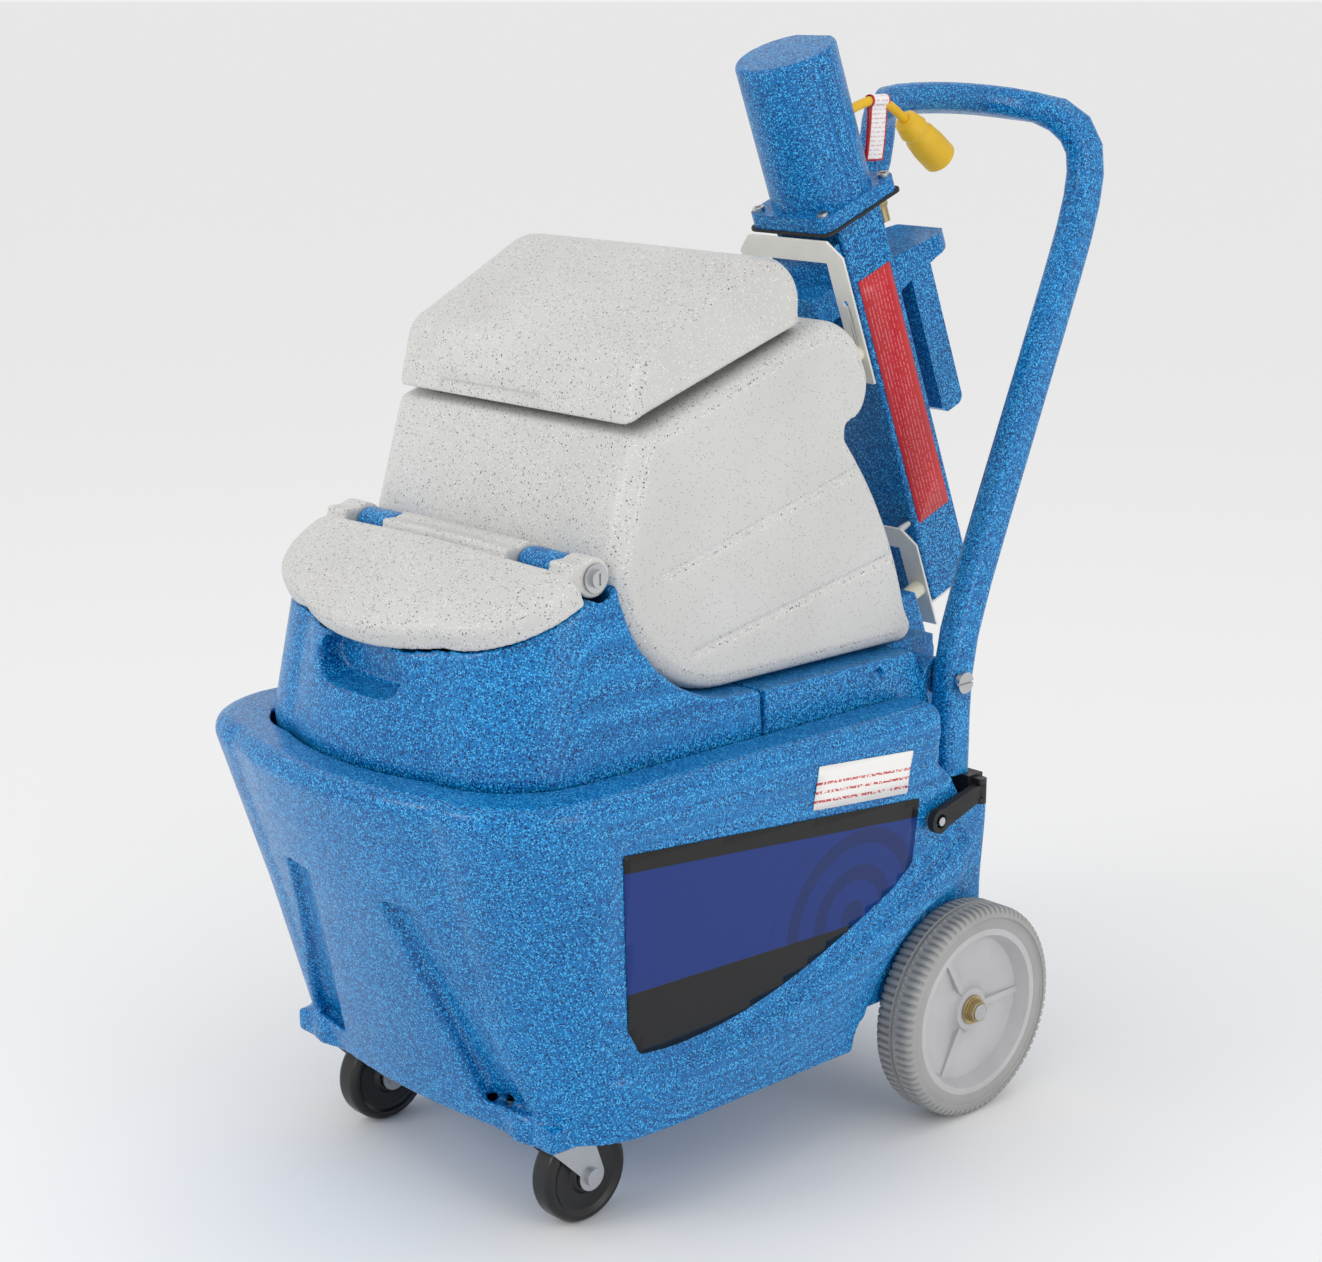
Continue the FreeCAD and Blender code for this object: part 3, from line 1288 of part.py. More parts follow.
SINGLE = [
    base_tub, solution_tank, rear_housing, recovery_tank, tank_gasket, recovery_lid,
    recovery_lid_pin, solution_lid, solution_lid_pin, lid_pin_screws, heater_box, heater_core,
    heater_gasket, heater_cap, flange_screws, thermostat_cover, upper_bracket, lower_bracket,
    bracket_standoffs, nylon_spacers, cord_hook, brass_elbow, strain_relief, pigtail_cord,
    cord_connector, cord_tag, handle, handle_bolts, latch_brackets, latch_screws, latch_keepers, rear_axle,
    axle_brackets, axle_nuts, caster_plates, caster_bolts, vacuum_motor, solution_pump,
    solution_hose, vacuum_standpipe, float_cage, float_ball, vacuum_port, drain_valve,
    drain_lever, switch_panel, power_inlet,
]
SIDED = [latch_strap, wheel_hub, tyre, caster_fork, caster_wheel]


def all_nodes():
    nodes = {make.__name__: make() for make in SINGLE}
    for make in SIDED:
        for word, side in (("left", 1), ("right", -1)):
            nodes[f"{make.__name__}_{word}"] = make(side)
    for index in range(len(switch_heights)):
        nodes[f"rocker_switch_{index + 1}"] = rocker_switch(index)
    return nodes


def main():
    """Write every node, moved so that the origin is under the middle of the overall box."""
    os.makedirs("parts", exist_ok=True)
    nodes = all_nodes()
    boxes = [shape.optimalBoundingBox() for name, shape in nodes.items() if name not in CORD_NODES]
    shift = -(min(b.YMin for b in boxes) + max(b.YMax for b in boxes)) / 2
    print("moved along Y by", round(shift, 3))
    for name, shape in nodes.items():
        if not shape.isValid():
            print("invalid:", name)
        shape.translated(vec(0, shift, 0)).exportStep(os.path.join("parts", name + ".step"))


main()
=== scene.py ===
"""Looks of a self-contained carpet extractor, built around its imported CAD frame.

Metres, +Z up, the front of the machine faces -Y. Speckled mouldings are remeshed from their CAD
nodes, relaxed and shaped by moving their points; hard parts keep their CAD meshes with eased edges.
"""

import json
import math

import bmesh
import bpy
import numpy as np
from mathutils import Matrix, Vector
from mathutils.bvhtree import BVHTree


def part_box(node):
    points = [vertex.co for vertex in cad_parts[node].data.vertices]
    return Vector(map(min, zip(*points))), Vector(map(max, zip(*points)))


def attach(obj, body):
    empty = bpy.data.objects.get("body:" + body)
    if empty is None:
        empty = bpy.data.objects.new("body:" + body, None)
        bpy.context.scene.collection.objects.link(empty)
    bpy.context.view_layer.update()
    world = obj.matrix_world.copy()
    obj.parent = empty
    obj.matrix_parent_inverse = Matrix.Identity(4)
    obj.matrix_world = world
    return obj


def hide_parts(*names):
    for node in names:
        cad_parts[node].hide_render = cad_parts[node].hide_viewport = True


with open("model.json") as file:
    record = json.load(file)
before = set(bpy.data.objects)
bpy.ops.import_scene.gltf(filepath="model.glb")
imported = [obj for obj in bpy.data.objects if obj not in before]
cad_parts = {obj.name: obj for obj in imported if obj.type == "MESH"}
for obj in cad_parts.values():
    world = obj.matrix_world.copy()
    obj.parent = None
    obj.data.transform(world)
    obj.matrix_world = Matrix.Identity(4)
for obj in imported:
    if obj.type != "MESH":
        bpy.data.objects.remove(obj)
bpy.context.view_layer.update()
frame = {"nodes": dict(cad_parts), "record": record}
PART_FRONT = -0.435          # foremost point of the tub in the part's own frame
FRAME_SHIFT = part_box("base_tub")[0].y - PART_FRONT

# ---------------------------------------------------------------- sizes
CAMERA_PLACE = Vector((1.626, -1.5313, 1.022))
CAMERA_TARGET = Vector((0.0, -0.0204, 0.4438))
CAMERA_LENS = 68.06
CAMERA_RISE = 0.0101

CORD_POINTS = [(0, 0.2158, 0.9147), (0, 0.2446, 0.9262), (0, 0.2731, 0.9226), (0, 0.2961, 0.9060)]
CORD_DIAMETER = 0.009

FLOOR_HALF = 900.0
VOXEL = 0.0025               # grid of the remeshed mouldings
FINE_VOXEL = 0.0018          # the same for the lids
TREAD_COUNT = 84             # lateral grooves round a tyre
TREAD_DEPTH = 0.0026
HEATER_LEAN = math.radians(21.5)
HEATER_FOOT = (0.325, 0.450)  # (Y, Z) of the tower's foot in the part's own frame
FENDER_SWELL = 0.012         # how far the flanks swell below the fender line
PANEL_DEPTH = 0.0016         # how far the flat field above it is pressed in
GROOVE_WIDTH = 0.0035        # of the slanting grooves in the recovery tank's flanks
GROOVE_DEPTH = 0.0024
BOLT_RECESS = (0.074, 0.431)  # (Y, Z) of the round recesses in the rear housing's flanks
BOLT_RECESS_DEPTH = 0.0042
FINGER_RECESS = (-0.098, 0.040)  # across the recovery lid's front
FINGER_RECESS_DEPTH = 0.0035
RING_PITCH = 0.034           # between the faint rings of the side decal
RING_REACH = 0.103


def srgb(red, green, blue):
    """A linear colour from 0-255 display values."""
    def linear(value):
        value /= 255
        return value / 12.92 if value <= 0.04045 else ((value + 0.055) / 1.055) ** 2.4
    return (linear(red), linear(green), linear(blue), 1.0)


# ---------------------------------------------------------------- camera, light and floor
def make_camera():
    data = bpy.data.cameras.new("photo_view")
    data.lens = CAMERA_LENS
    data.sensor_width = 36.0
    data.shift_y = CAMERA_RISE
    data.clip_end = 300.0
    camera = bpy.data.objects.new("photo_view", data)
    bpy.context.scene.collection.objects.link(camera)
    aim = CAMERA_TARGET - CAMERA_PLACE
    camera.matrix_world = Matrix.Translation(CAMERA_PLACE) @ aim.to_track_quat("-Z", "Y").to_matrix().to_4x4()
    bpy.context.scene.camera = camera


def soft_light(name, place, size, power):
    data = bpy.data.lights.new(name, "AREA")
    data.shape = "SQUARE"
    data.size = size
    data.energy = power
    light = bpy.data.objects.new(name, data)
    bpy.context.scene.collection.objects.link(light)
    place = Vector(place)
    aim = Vector((0, 0, 0.45)) - place
    light.matrix_world = Matrix.Translation(place) @ aim.to_track_quat("-Z", "Y").to_matrix().to_4x4()


def make_studio():
    world = bpy.data.worlds.new("studio")
    world.use_nodes = True
    background = world.node_tree.nodes["Background"]
    background.inputs["Color"].default_value = (1.0, 1.0, 1.0, 1.0)
    background.inputs["Strength"].default_value = 0.88
    bpy.context.scene.world = world
    bpy.context.scene.view_settings.view_transform = "Standard"
    soft_light("key", (-0.7, -2.9, 2.0), 1.2, 22)
    soft_light("side", (3.0, 0.1, 1.2), 1.5, 16)
    soft_light("top", (0.2, 0.8, 3.2), 1.6, 2)
    mesh = bpy.data.meshes.new("floor")
    half = FLOOR_HALF
    mesh.from_pydata([(-half, -half, 0), (half, -half, 0), (half, half, 0), (-half, half, 0)],
                     [], [(0, 1, 2, 3)])
    floor = bpy.data.objects.new("floor", mesh)
    bpy.context.scene.collection.objects.link(floor)
    material, tree, shader = blank("floor_paper", 0.9)
    shader.inputs["Base Color"].default_value = (0.90, 0.90, 0.90, 1)
    floor.data.materials.append(material)


# ---------------------------------------------------------------- shader helpers
def blank(name, roughness, metallic=0.0, coat=0.0):
    material = bpy.data.materials.new(name)
    material.use_nodes = True
    shader = material.node_tree.nodes["Principled BSDF"]
    shader.inputs["Roughness"].default_value = roughness
    shader.inputs["Metallic"].default_value = metallic
    shader.inputs["Coat Weight"].default_value = coat
    return material, material.node_tree, shader


def feed(tree, socket, value):
    """Link a socket to another node's output, or set its value."""
    if isinstance(value, bpy.types.NodeSocket):
        tree.links.new(value, socket)
    else:
        socket.default_value = value


def calculate(tree, operation, *values):
    node = tree.nodes.new("ShaderNodeMath")
    node.operation = operation
    for socket, value in zip(node.inputs, values):
        feed(tree, socket, value)
    return node.outputs[0]


def mixed(tree, share, first, second):
    node = tree.nodes.new("ShaderNodeMix")
    node.data_type = "RGBA"
    feed(tree, node.inputs["Factor"], share)
    feed(tree, node.inputs[6], first)
    feed(tree, node.inputs[7], second)
    return node.outputs[2]


def place_of(tree):
    """Where a point is on the object, so that a texture stays on a moving part."""
    return tree.nodes.new("ShaderNodeTexCoord").outputs["Object"]


def axes_of(tree):
    node = tree.nodes.new("ShaderNodeSeparateXYZ")
    tree.links.new(place_of(tree), node.inputs[0])
    return node.outputs


def noise(tree, scale, detail=2.0, stretch=None):
    node = tree.nodes.new("ShaderNodeTexNoise")
    node.inputs["Scale"].default_value = scale
    node.inputs["Detail"].default_value = detail
    place = place_of(tree)
    if stretch:
        mapping = tree.nodes.new("ShaderNodeMapping")
        mapping.inputs["Scale"].default_value = stretch
        tree.links.new(place, mapping.inputs["Vector"])
        place = mapping.outputs[0]
    tree.links.new(place, node.inputs["Vector"])
    return node.outputs[0]


def ranged(tree, value, low, high, start=0.0, end=1.0):
    """Stretch the part of value between start and end to run from low to high."""
    node = tree.nodes.new("ShaderNodeMapRange")
    feed(tree, node.inputs["Value"], value)
    for name, number in (("From Min", start), ("From Max", end), ("To Min", low), ("To Max", high)):
        node.inputs[name].default_value = number
    return node.outputs[0]


def bumped(tree, shader, height, strength, distance):
    bump = tree.nodes.new("ShaderNodeBump")
    bump.inputs["Strength"].default_value = strength
    bump.inputs["Distance"].default_value = distance
    tree.links.new(height, bump.inputs["Height"])
    tree.links.new(bump.outputs[0], shader.inputs["Normal"])


def cells(tree, scale):
    """Speckles: the distance to the nearest cell's middle, and that cell's own random number."""
    node = tree.nodes.new("ShaderNodeTexVoronoi")
    node.inputs["Scale"].default_value = scale
    tree.links.new(place_of(tree), node.inputs["Vector"])
    split = tree.nodes.new("ShaderNodeSeparateColor")
    tree.links.new(node.outputs["Color"], split.inputs[0])
    return node.outputs["Distance"], split.outputs[0]


# ---------------------------------------------------------------- materials
def granite(name, base, cloud, specks, roughness, coat):
    """Rotationally moulded plastic with flecks of other colours through it."""
    material, tree, shader = blank(name, roughness, coat=coat)
    shader.inputs["Coat Roughness"].default_value = 0.12
    shader.inputs["Specular IOR Level"].default_value = 0.32
    colour = mixed(tree, ranged(tree, noise(tree, 7.0, 3.0), 0, 1, 0.35, 0.65), base, cloud)
    for scale, share, reach, tint in specks:
        distance, pick = cells(tree, scale)
        near = calculate(tree, "LESS_THAN", distance, reach)
        chosen = calculate(tree, "LESS_THAN", pick, share)
        colour = mixed(tree, calculate(tree, "MULTIPLY", near, chosen), colour, tint)
    tree.links.new(colour, shader.inputs["Base Color"])
    tree.links.new(ranged(tree, noise(tree, 60.0), roughness - 0.05, roughness + 0.08, 0.3, 0.7),
                   shader.inputs["Roughness"])
    bumped(tree, shader, noise(tree, 240.0, 2.0), 0.06, 0.0005)
    return material


def plain(name, base, roughness, metallic=0.0, grain=260.0, relief=0.08, coat=0.0, stretch=None,
          drift=0.12):
    """Painted, plated or moulded stock: drifting tone, uneven gloss and a fine surface grain."""
    material, tree, shader = blank(name, roughness, metallic, coat)
    dark = tuple(v * (1 - drift) for v in base[:3]) + (1.0,)
    colour = mixed(tree, ranged(tree, noise(tree, 22.0, 4.0), 0, 1, 0.3, 0.7), dark, base)
    grime = ranged(tree, noise(tree, 75.0, 5.0), 0, 0.5, 0.6, 0.8)
    tree.links.new(mixed(tree, grime, colour, dark), shader.inputs["Base Color"])
    tree.links.new(ranged(tree, noise(tree, 48.0, 4.0), max(roughness - 0.08, 0.05), roughness + 0.1,
                          0.3, 0.7), shader.inputs["Roughness"])
    bumped(tree, shader, noise(tree, grain, 3.0, stretch), relief, 0.0005)
    return material


def side_decal(name, low, high):
    """Black film with a blue band across it and faint rings in the band, no lettering."""
    material, tree, shader = blank(name, 0.36, coat=0.1)
    shader.inputs["Specular IOR Level"].default_value = 0.3
    x, y, z = axes_of(tree)
    share = ranged(tree, y, 0, 1, low.y, high.y)
    top = calculate(tree, "MULTIPLY_ADD", share, -0.034, high.z - 0.016)
    bottom = calculate(tree, "MULTIPLY_ADD", share, -0.012, low.z + 0.060)
    inside = calculate(tree, "MULTIPLY", calculate(tree, "LESS_THAN", z, top),
                       calculate(tree, "GREATER_THAN", z, bottom))
    off_y = calculate(tree, "SUBTRACT", y, high.y - 0.075)
    off_z = calculate(tree, "SUBTRACT", z, low.z + 0.060)
    away = calculate(tree, "SQRT", calculate(tree, "ADD", calculate(tree, "MULTIPLY", off_y, off_y),
                                             calculate(tree, "MULTIPLY", off_z, off_z)))
    phase = calculate(tree, "FRACT", calculate(tree, "DIVIDE", away, RING_PITCH))
    ring = calculate(tree, "MULTIPLY", calculate(tree, "LESS_THAN", phase, 0.42),
                     calculate(tree, "LESS_THAN", away, RING_REACH))
    blue = mixed(tree, ring, srgb(0, 42, 118), srgb(0, 34, 96))
    tree.links.new(mixed(tree, inside, srgb(10, 10, 12), blue), shader.inputs["Base Color"])
    bumped(tree, shader, noise(tree, 240.0), 0.03, 0.0004)
    return material


def lined_label(name, paper, ink, across, first, pitch, count, gauge):
    """A printed label: rows of thin bars in place of lettering, stacked in the (Y, Z) way given."""
    material, tree, shader = blank(name, 0.42, coat=0.2)
    x, y, z = axes_of(tree)
    axis = calculate(tree, "MULTIPLY_ADD", y, across[0], calculate(tree, "MULTIPLY", z, across[1]))
    row = calculate(tree, "DIVIDE", calculate(tree, "SUBTRACT", axis, first), pitch)
    line = calculate(tree, "LESS_THAN", calculate(tree, "FRACT", row), gauge)
    inside = calculate(tree, "MULTIPLY", calculate(tree, "GREATER_THAN", row, 0.0),
                       calculate(tree, "LESS_THAN", row, float(count)))
    broken = calculate(tree, "GREATER_THAN", noise(tree, 420.0), 0.47)
    mask = calculate(tree, "MULTIPLY", calculate(tree, "MULTIPLY", line, inside), broken)
    soft = mixed(tree, ranged(tree, noise(tree, 30.0), 0, 0.25, 0.3, 0.8), paper,
                 tuple(v * 0.8 for v in paper[:3]) + (1.0,))
    tree.links.new(mixed(tree, mask, soft, ink), shader.inputs["Base Color"])
    bumped(tree, shader, noise(tree, 260.0), 0.04, 0.0004)
    return material


MATERIALS = {}


def make_materials():
    blue_specks = [(560, 0.55, 0.44, srgb(0, 70, 134)), (400, 0.34, 0.38, srgb(50, 164, 228)),
                   (700, 0.34, 0.42, srgb(84, 190, 242)), (470, 0.40, 0.40, srgb(0, 44, 100))]
    grey_specks = [(520, 0.22, 0.36, srgb(146, 144, 140)), (330, 0.13, 0.26, srgb(92, 90, 88)),
                   (700, 0.20, 0.36, srgb(236, 236, 234))]
    MATERIALS.update({
        "blue_granite": granite("speckled_blue", srgb(0, 118, 186), srgb(0, 108, 174), blue_specks,
                                0.34, 0.16),
        "grey_granite": granite("speckled_grey", srgb(206, 206, 204), srgb(198, 197, 194), grey_specks,
                                0.42, 0.12),
        "blue_enamel": granite("speckled_blue_tower", srgb(0, 112, 180), srgb(0, 102, 168), blue_specks,
                               0.36, 0.14),
        "white_enamel": plain("white_powder_coat", srgb(232, 230, 222), 0.42),
        "zinc": plain("bright_zinc", srgb(196, 198, 200), 0.28, 1.0, 320.0, 0.12, stretch=(1, 1, 6)),
        "brass": plain("yellow_zinc", srgb(188, 170, 128), 0.32, 1.0),
        "black_rubber": plain("black_rubber", srgb(26, 26, 27), 0.62, relief=0.2),
        "grey_tyre": plain("grey_tyre", srgb(164, 164, 163), 0.62, relief=0.22),
        "grey_hub": plain("grey_hub", srgb(190, 190, 192), 0.44, relief=0.15),
        "caster_black": plain("caster_black", srgb(18, 18, 19), 0.34, relief=0.1),
        "nylon": plain("nylon", srgb(232, 228, 206), 0.45),
        "yellow_plug": plain("yellow_plug", srgb(238, 190, 34), 0.42, relief=0.12),
        "yellow_cord": plain("yellow_cord", srgb(240, 188, 20), 0.48, relief=0.1),
        "tag_paper": plain("tag_paper", srgb(240, 236, 232), 0.6),
        "black_plastic": plain("black_plastic", srgb(28, 28, 30), 0.45, relief=0.15),
        "clear_grey": plain("pipe_grey", srgb(168, 170, 172), 0.45),
        "red_rocker": plain("red_rocker", srgb(186, 26, 24), 0.32),
    })


# ---------------------------------------------------------------- mesh helpers
def linked(name, mesh, material):
    piece = bpy.data.objects.new(name, mesh)
    bpy.context.scene.collection.objects.link(piece)
    if not mesh.materials:
        mesh.materials.append(material)
    return piece


def body_of_node(node):
    for body, nodes in frame["record"]["behaviour"]["bodies"].items():
        if node in nodes:
            return body
    raise ValueError(node)


def slot_of_node(node):
    return next(s["material_slot"] for s in frame["record"]["subparts"] if s["node"] == node)


def standing_for(piece, node):
    """The piece rides where its CAD node does and takes its place."""
    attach(piece, body_of_node(node))
    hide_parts(node)
    return piece


def settled(piece):
    """Apply a piece's modifiers."""
    graph = bpy.context.evaluated_depsgraph_get()
    mesh = bpy.data.meshes.new_from_object(piece.evaluated_get(graph))
    piece.modifiers.clear()
    piece.data = mesh
    return mesh


def points_of(mesh):
    flat = np.empty(len(mesh.vertices) * 3, np.float32)
    mesh.vertices.foreach_get("co", flat)
    return flat.reshape(-1, 3).astype(float)


def normals_of(mesh):
    flat = np.empty(len(mesh.vertices) * 3, np.float32)
    mesh.vertices.foreach_get("normal", flat)
    return flat.reshape(-1, 3).astype(float)


def put_points(mesh, points):
    mesh.vertices.foreach_set("co", points.astype(np.float32).ravel())
    mesh.update()


def smooth_step(value, low, high):
    share = np.clip((value - low) / (high - low), 0, 1)
    return share * share * (3 - 2 * share)


def moulding(node, rounding, shape=None, voxel=VOXEL, keep=0.32):
    """A moulded shell: its CAD solid remeshed, its edges relaxed, shaped and thinned again."""
    mesh = frame["nodes"][node].data.copy()
    mesh.materials.clear()
    piece = linked(f"{node}_moulding", mesh, MATERIALS[slot_of_node(node)])
    remesh = piece.modifiers.new("even", "REMESH")
    remesh.mode = "VOXEL"
    remesh.voxel_size = voxel
    relax = piece.modifiers.new("relax", "SMOOTH")
    relax.factor = 0.5
    relax.iterations = rounding
    mesh = settled(piece)
    if shape:
        put_points(mesh, shape(points_of(mesh), normals_of(mesh)))
    thin = piece.modifiers.new("thin", "DECIMATE")
    thin.ratio = keep
    mesh = settled(piece)
    mesh.polygons.foreach_set("use_smooth", [True] * len(mesh.polygons))
    mesh.materials.clear()
    mesh.materials.append(MATERIALS[slot_of_node(node)])
    return standing_for(piece, node)


def distance_to_line(points, line):
    """Signed distance of 2-D points to a polyline, positive on its left, with a span share."""
    best = np.full(len(points), np.inf)
    signed = np.zeros(len(points))
    for a, b in zip(line, line[1:]):
        a, b = np.array(a), np.array(b)
        way = b - a
        share = np.clip(((points - a) @ way) / (way @ way), 0, 1)
        offset = points - (a + share[:, None] * way)
        distance = np.hypot(offset[:, 0], offset[:, 1])
        side = np.sign(way[0] * offset[:, 1] - way[1] * offset[:, 0])
        nearer = distance < best
        best = np.where(nearer, distance, best)
        signed = np.where(nearer, side * distance, signed)
    return signed


def curve_through(points, steps=8):
    """A smooth line through 2-D points."""
    points = [np.array(p, float) for p in points]
    padded = [2 * points[0] - points[1], *points, 2 * points[-1] - points[-2]]
    line = []
    for p0, p1, p2, p3 in zip(padded, padded[1:], padded[2:], padded[3:]):
        for k in range(steps):
            t = k / steps
            line.append(0.5 * (2 * p1 + (p2 - p0) * t + (2 * p0 - 5 * p1 + 4 * p2 - p3) * t * t
                               + (3 * p1 - p0 - 3 * p2 + p3) * t ** 3))
    return line + [points[-1]]


# ---------------------------------------------------------------- tub
FENDER_LINE = curve_through([(-0.330, 0.150), (-0.250, 0.158), (-0.175, 0.157), (-0.104, 0.166),
                             (-0.030, 0.188), (0.047, 0.222), (0.105, 0.252), (0.170, 0.292)])


def tub_shape(points, normals):
    """Swells the flanks below the fender line and presses in the flat field above it."""
    moved = points.copy()
    outward = smooth_step(np.abs(points[:, 0]), 0.165, 0.190) * smooth_step(np.abs(normals[:, 0]), 0.3, 0.8)
    below = -distance_to_line(points[:, 1:], FENDER_LINE)
    swell = FENDER_SWELL * smooth_step(below, -0.001, 0.013)
    swell *= 1 - 0.55 * smooth_step(below, 0.02, 0.10)
    swell *= smooth_step(points[:, 1], -0.330, -0.180)
    moved[:, 0] += np.sign(points[:, 0]) * swell * outward
    panel = smooth_step(-below, 0.004, 0.012) * smooth_step(0.372 - points[:, 2], 0.0, 0.006)
    panel *= smooth_step(points[:, 1], -0.285, -0.268)
    moved[:, 0] -= np.sign(points[:, 0]) * PANEL_DEPTH * panel * outward
    return moved


# ---------------------------------------------------------------- recovery tank
SIDE_GROOVES = [[(-0.165, 0.559), (0.080, 0.624)], [(-0.135, 0.487), (0.105, 0.534)]]


def tank_shape(points, normals):
    """Presses the slanting grooves into the recovery tank's flanks."""
    moved = points.copy()
    outward = smooth_step(np.abs(points[:, 0]), 0.150, 0.158) * smooth_step(np.abs(normals[:, 0]), 0.4, 0.9)
    depth = np.zeros(len(points))
    for start, end in SIDE_GROOVES:
        away = np.abs(distance_to_line(points[:, 1:], [start, end]))
        depth = np.maximum(depth, np.exp(-((away / GROOVE_WIDTH) ** 2)))
    moved[:, 0] -= np.sign(points[:, 0]) * GROOVE_DEPTH * depth * outward
    return moved


def housing_shape(points, normals):
    """Presses the round bolt recesses into the rear housing's flanks."""
    moved = points.copy()
    away = np.hypot(points[:, 1] - BOLT_RECESS[0], points[:, 2] - BOLT_RECESS[1])
    outward = smooth_step(np.abs(points[:, 0]), 0.160, 0.170) * smooth_step(np.abs(normals[:, 0]), 0.5, 0.9)
    depth = BOLT_RECESS_DEPTH * (1 - smooth_step(away, 0.006, 0.0095))
    moved[:, 0] -= np.sign(points[:, 0]) * depth * outward
    return moved


def crown(height, middle, reach):
    """Lifts a lid's top towards its middle."""
    def shape(points, normals):
        moved = points.copy()
        away = np.hypot((points[:, 0] - middle[0]) / reach[0], (points[:, 1] - middle[1]) / reach[1])
        lift = height * (1 - smooth_step(away, 0.0, 1.0)) * smooth_step(normals[:, 2], 0.3, 0.8)
        moved[:, 2] += lift
        return moved
    return shape


def dome_lid_shape(points, normals):
    """Presses the finger recess into the lower edge of the lid's front and crowns its top."""
    moved = crown(0.0025, (0, -0.115), (0.15, 0.10))(points, normals)
    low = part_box("recovery_lid")[0]
    start, end = FINGER_RECESS
    front = smooth_step(low.y + 0.032 - points[:, 1], 0.0, 0.006) * smooth_step(-normals[:, 1], 0.3, 0.7)
    across = smooth_step(points[:, 0], start, start + 0.006) * smooth_step(end - points[:, 0], 0.0, 0.006)
    height = smooth_step(low.z + 0.015 - points[:, 2], 0.0, 0.004)
    moved[:, 1] += FINGER_RECESS_DEPTH * front * across * height
    return moved


# ---------------------------------------------------------------- hard parts
def easing_group():
    """Joins a node's seams and shades it smooth between its real edges."""
    group = bpy.data.node_groups.new("eased", "GeometryNodeTree")
    group.interface.new_socket("Geometry", in_out="INPUT", socket_type="NodeSocketGeometry")
    group.interface.new_socket("Geometry", in_out="OUTPUT", socket_type="NodeSocketGeometry")
    start = group.nodes.new("NodeGroupInput")
    merge = group.nodes.new("GeometryNodeMergeByDistance")
    merge.inputs["Distance"].default_value = 0.00001
    angle = group.nodes.new("GeometryNodeInputMeshEdgeAngle")
    steep = group.nodes.new("FunctionNodeCompare")
    steep.operation = "GREATER_THAN"
    steep.inputs["B"].default_value = math.radians(32)
    normal = group.nodes.new("GeometryNodeSetMeshNormal")
    normal.mode = "SHARPNESS"
    normal.inputs["Face Sharpness"].default_value = False
    finish = group.nodes.new("NodeGroupOutput")
    group.links.new(start.outputs[0], merge.inputs[0])
    group.links.new(merge.outputs[0], normal.inputs[0])
    group.links.new(angle.outputs["Unsigned Angle"], steep.inputs["A"])
    group.links.new(steep.outputs[0], normal.inputs["Edge Sharpness"])
    group.links.new(normal.outputs[0], finish.inputs[0])
    return group


EDGE_WIDTHS = {"handle": 0.0, "pigtail_cord": 0.0, "strain_relief": 0.0008, "heater_cap": 0.0018,
               "cord_hook": 0.0035, "thermostat_cover": 0.003, "heater_box": 0.0012,
               "caster_wheel_left": 0.0012, "caster_wheel_right": 0.0012, "cord_connector": 0.0014,
               "wheel_hub_left": 0.0014, "wheel_hub_right": 0.0014, "latch_strap_left": 0.0015,
               "latch_strap_right": 0.0015, "caster_fork_left": 0.0007, "caster_fork_right": 0.0007}
USUAL_EDGE = 0.0006


def dress_hard_parts():
    group = easing_group()
    for node, item in frame["nodes"].items():
        item.data.materials.clear()
        item.data.materials.append(MATERIALS[slot_of_node(node)])
        item.modifiers.new("eased", "NODES").node_group = group
        width = EDGE_WIDTHS.get(node, USUAL_EDGE)
        if width:
            bevel = item.modifiers.new("edges", "BEVEL")
            bevel.width = width
            bevel.segments = 2
            bevel.limit_method = "ANGLE"
            bevel.angle_limit = math.radians(34)
            bevel.harden_normals = True


# ---------------------------------------------------------------- tyres
def tyre_profile(outer, inner, rim, tread):
    """(x, radius) round a tyre's section, from its inner bead over the tread to its outer one."""
    return [
        (inner + 0.003, rim), (inner + 0.0005, rim + 0.006), (inner + 0.001, rim + 0.010),
        (inner, tread - 0.010), (inner + 0.0012, tread - 0.0045), (inner + 0.004, tread - 0.0012),
        (inner + 0.008, tread), (inner + 0.0125, tread), (inner + 0.017, tread), (inner + 0.0195, tread),
        (inner + 0.0202, tread - 0.003), (outer - 0.0202, tread - 0.003), (outer - 0.0195, tread),
        (outer - 0.017, tread), (outer - 0.0125, tread), (outer - 0.008, tread),
        (outer - 0.004, tread - 0.0012), (outer - 0.0012, tread - 0.0045), (outer, tread - 0.010),
        (outer - 0.0008, rim + 0.012), (outer - 0.0026, rim + 0.010), (outer - 0.0022, rim + 0.004),
        (outer - 0.003, rim),
    ]


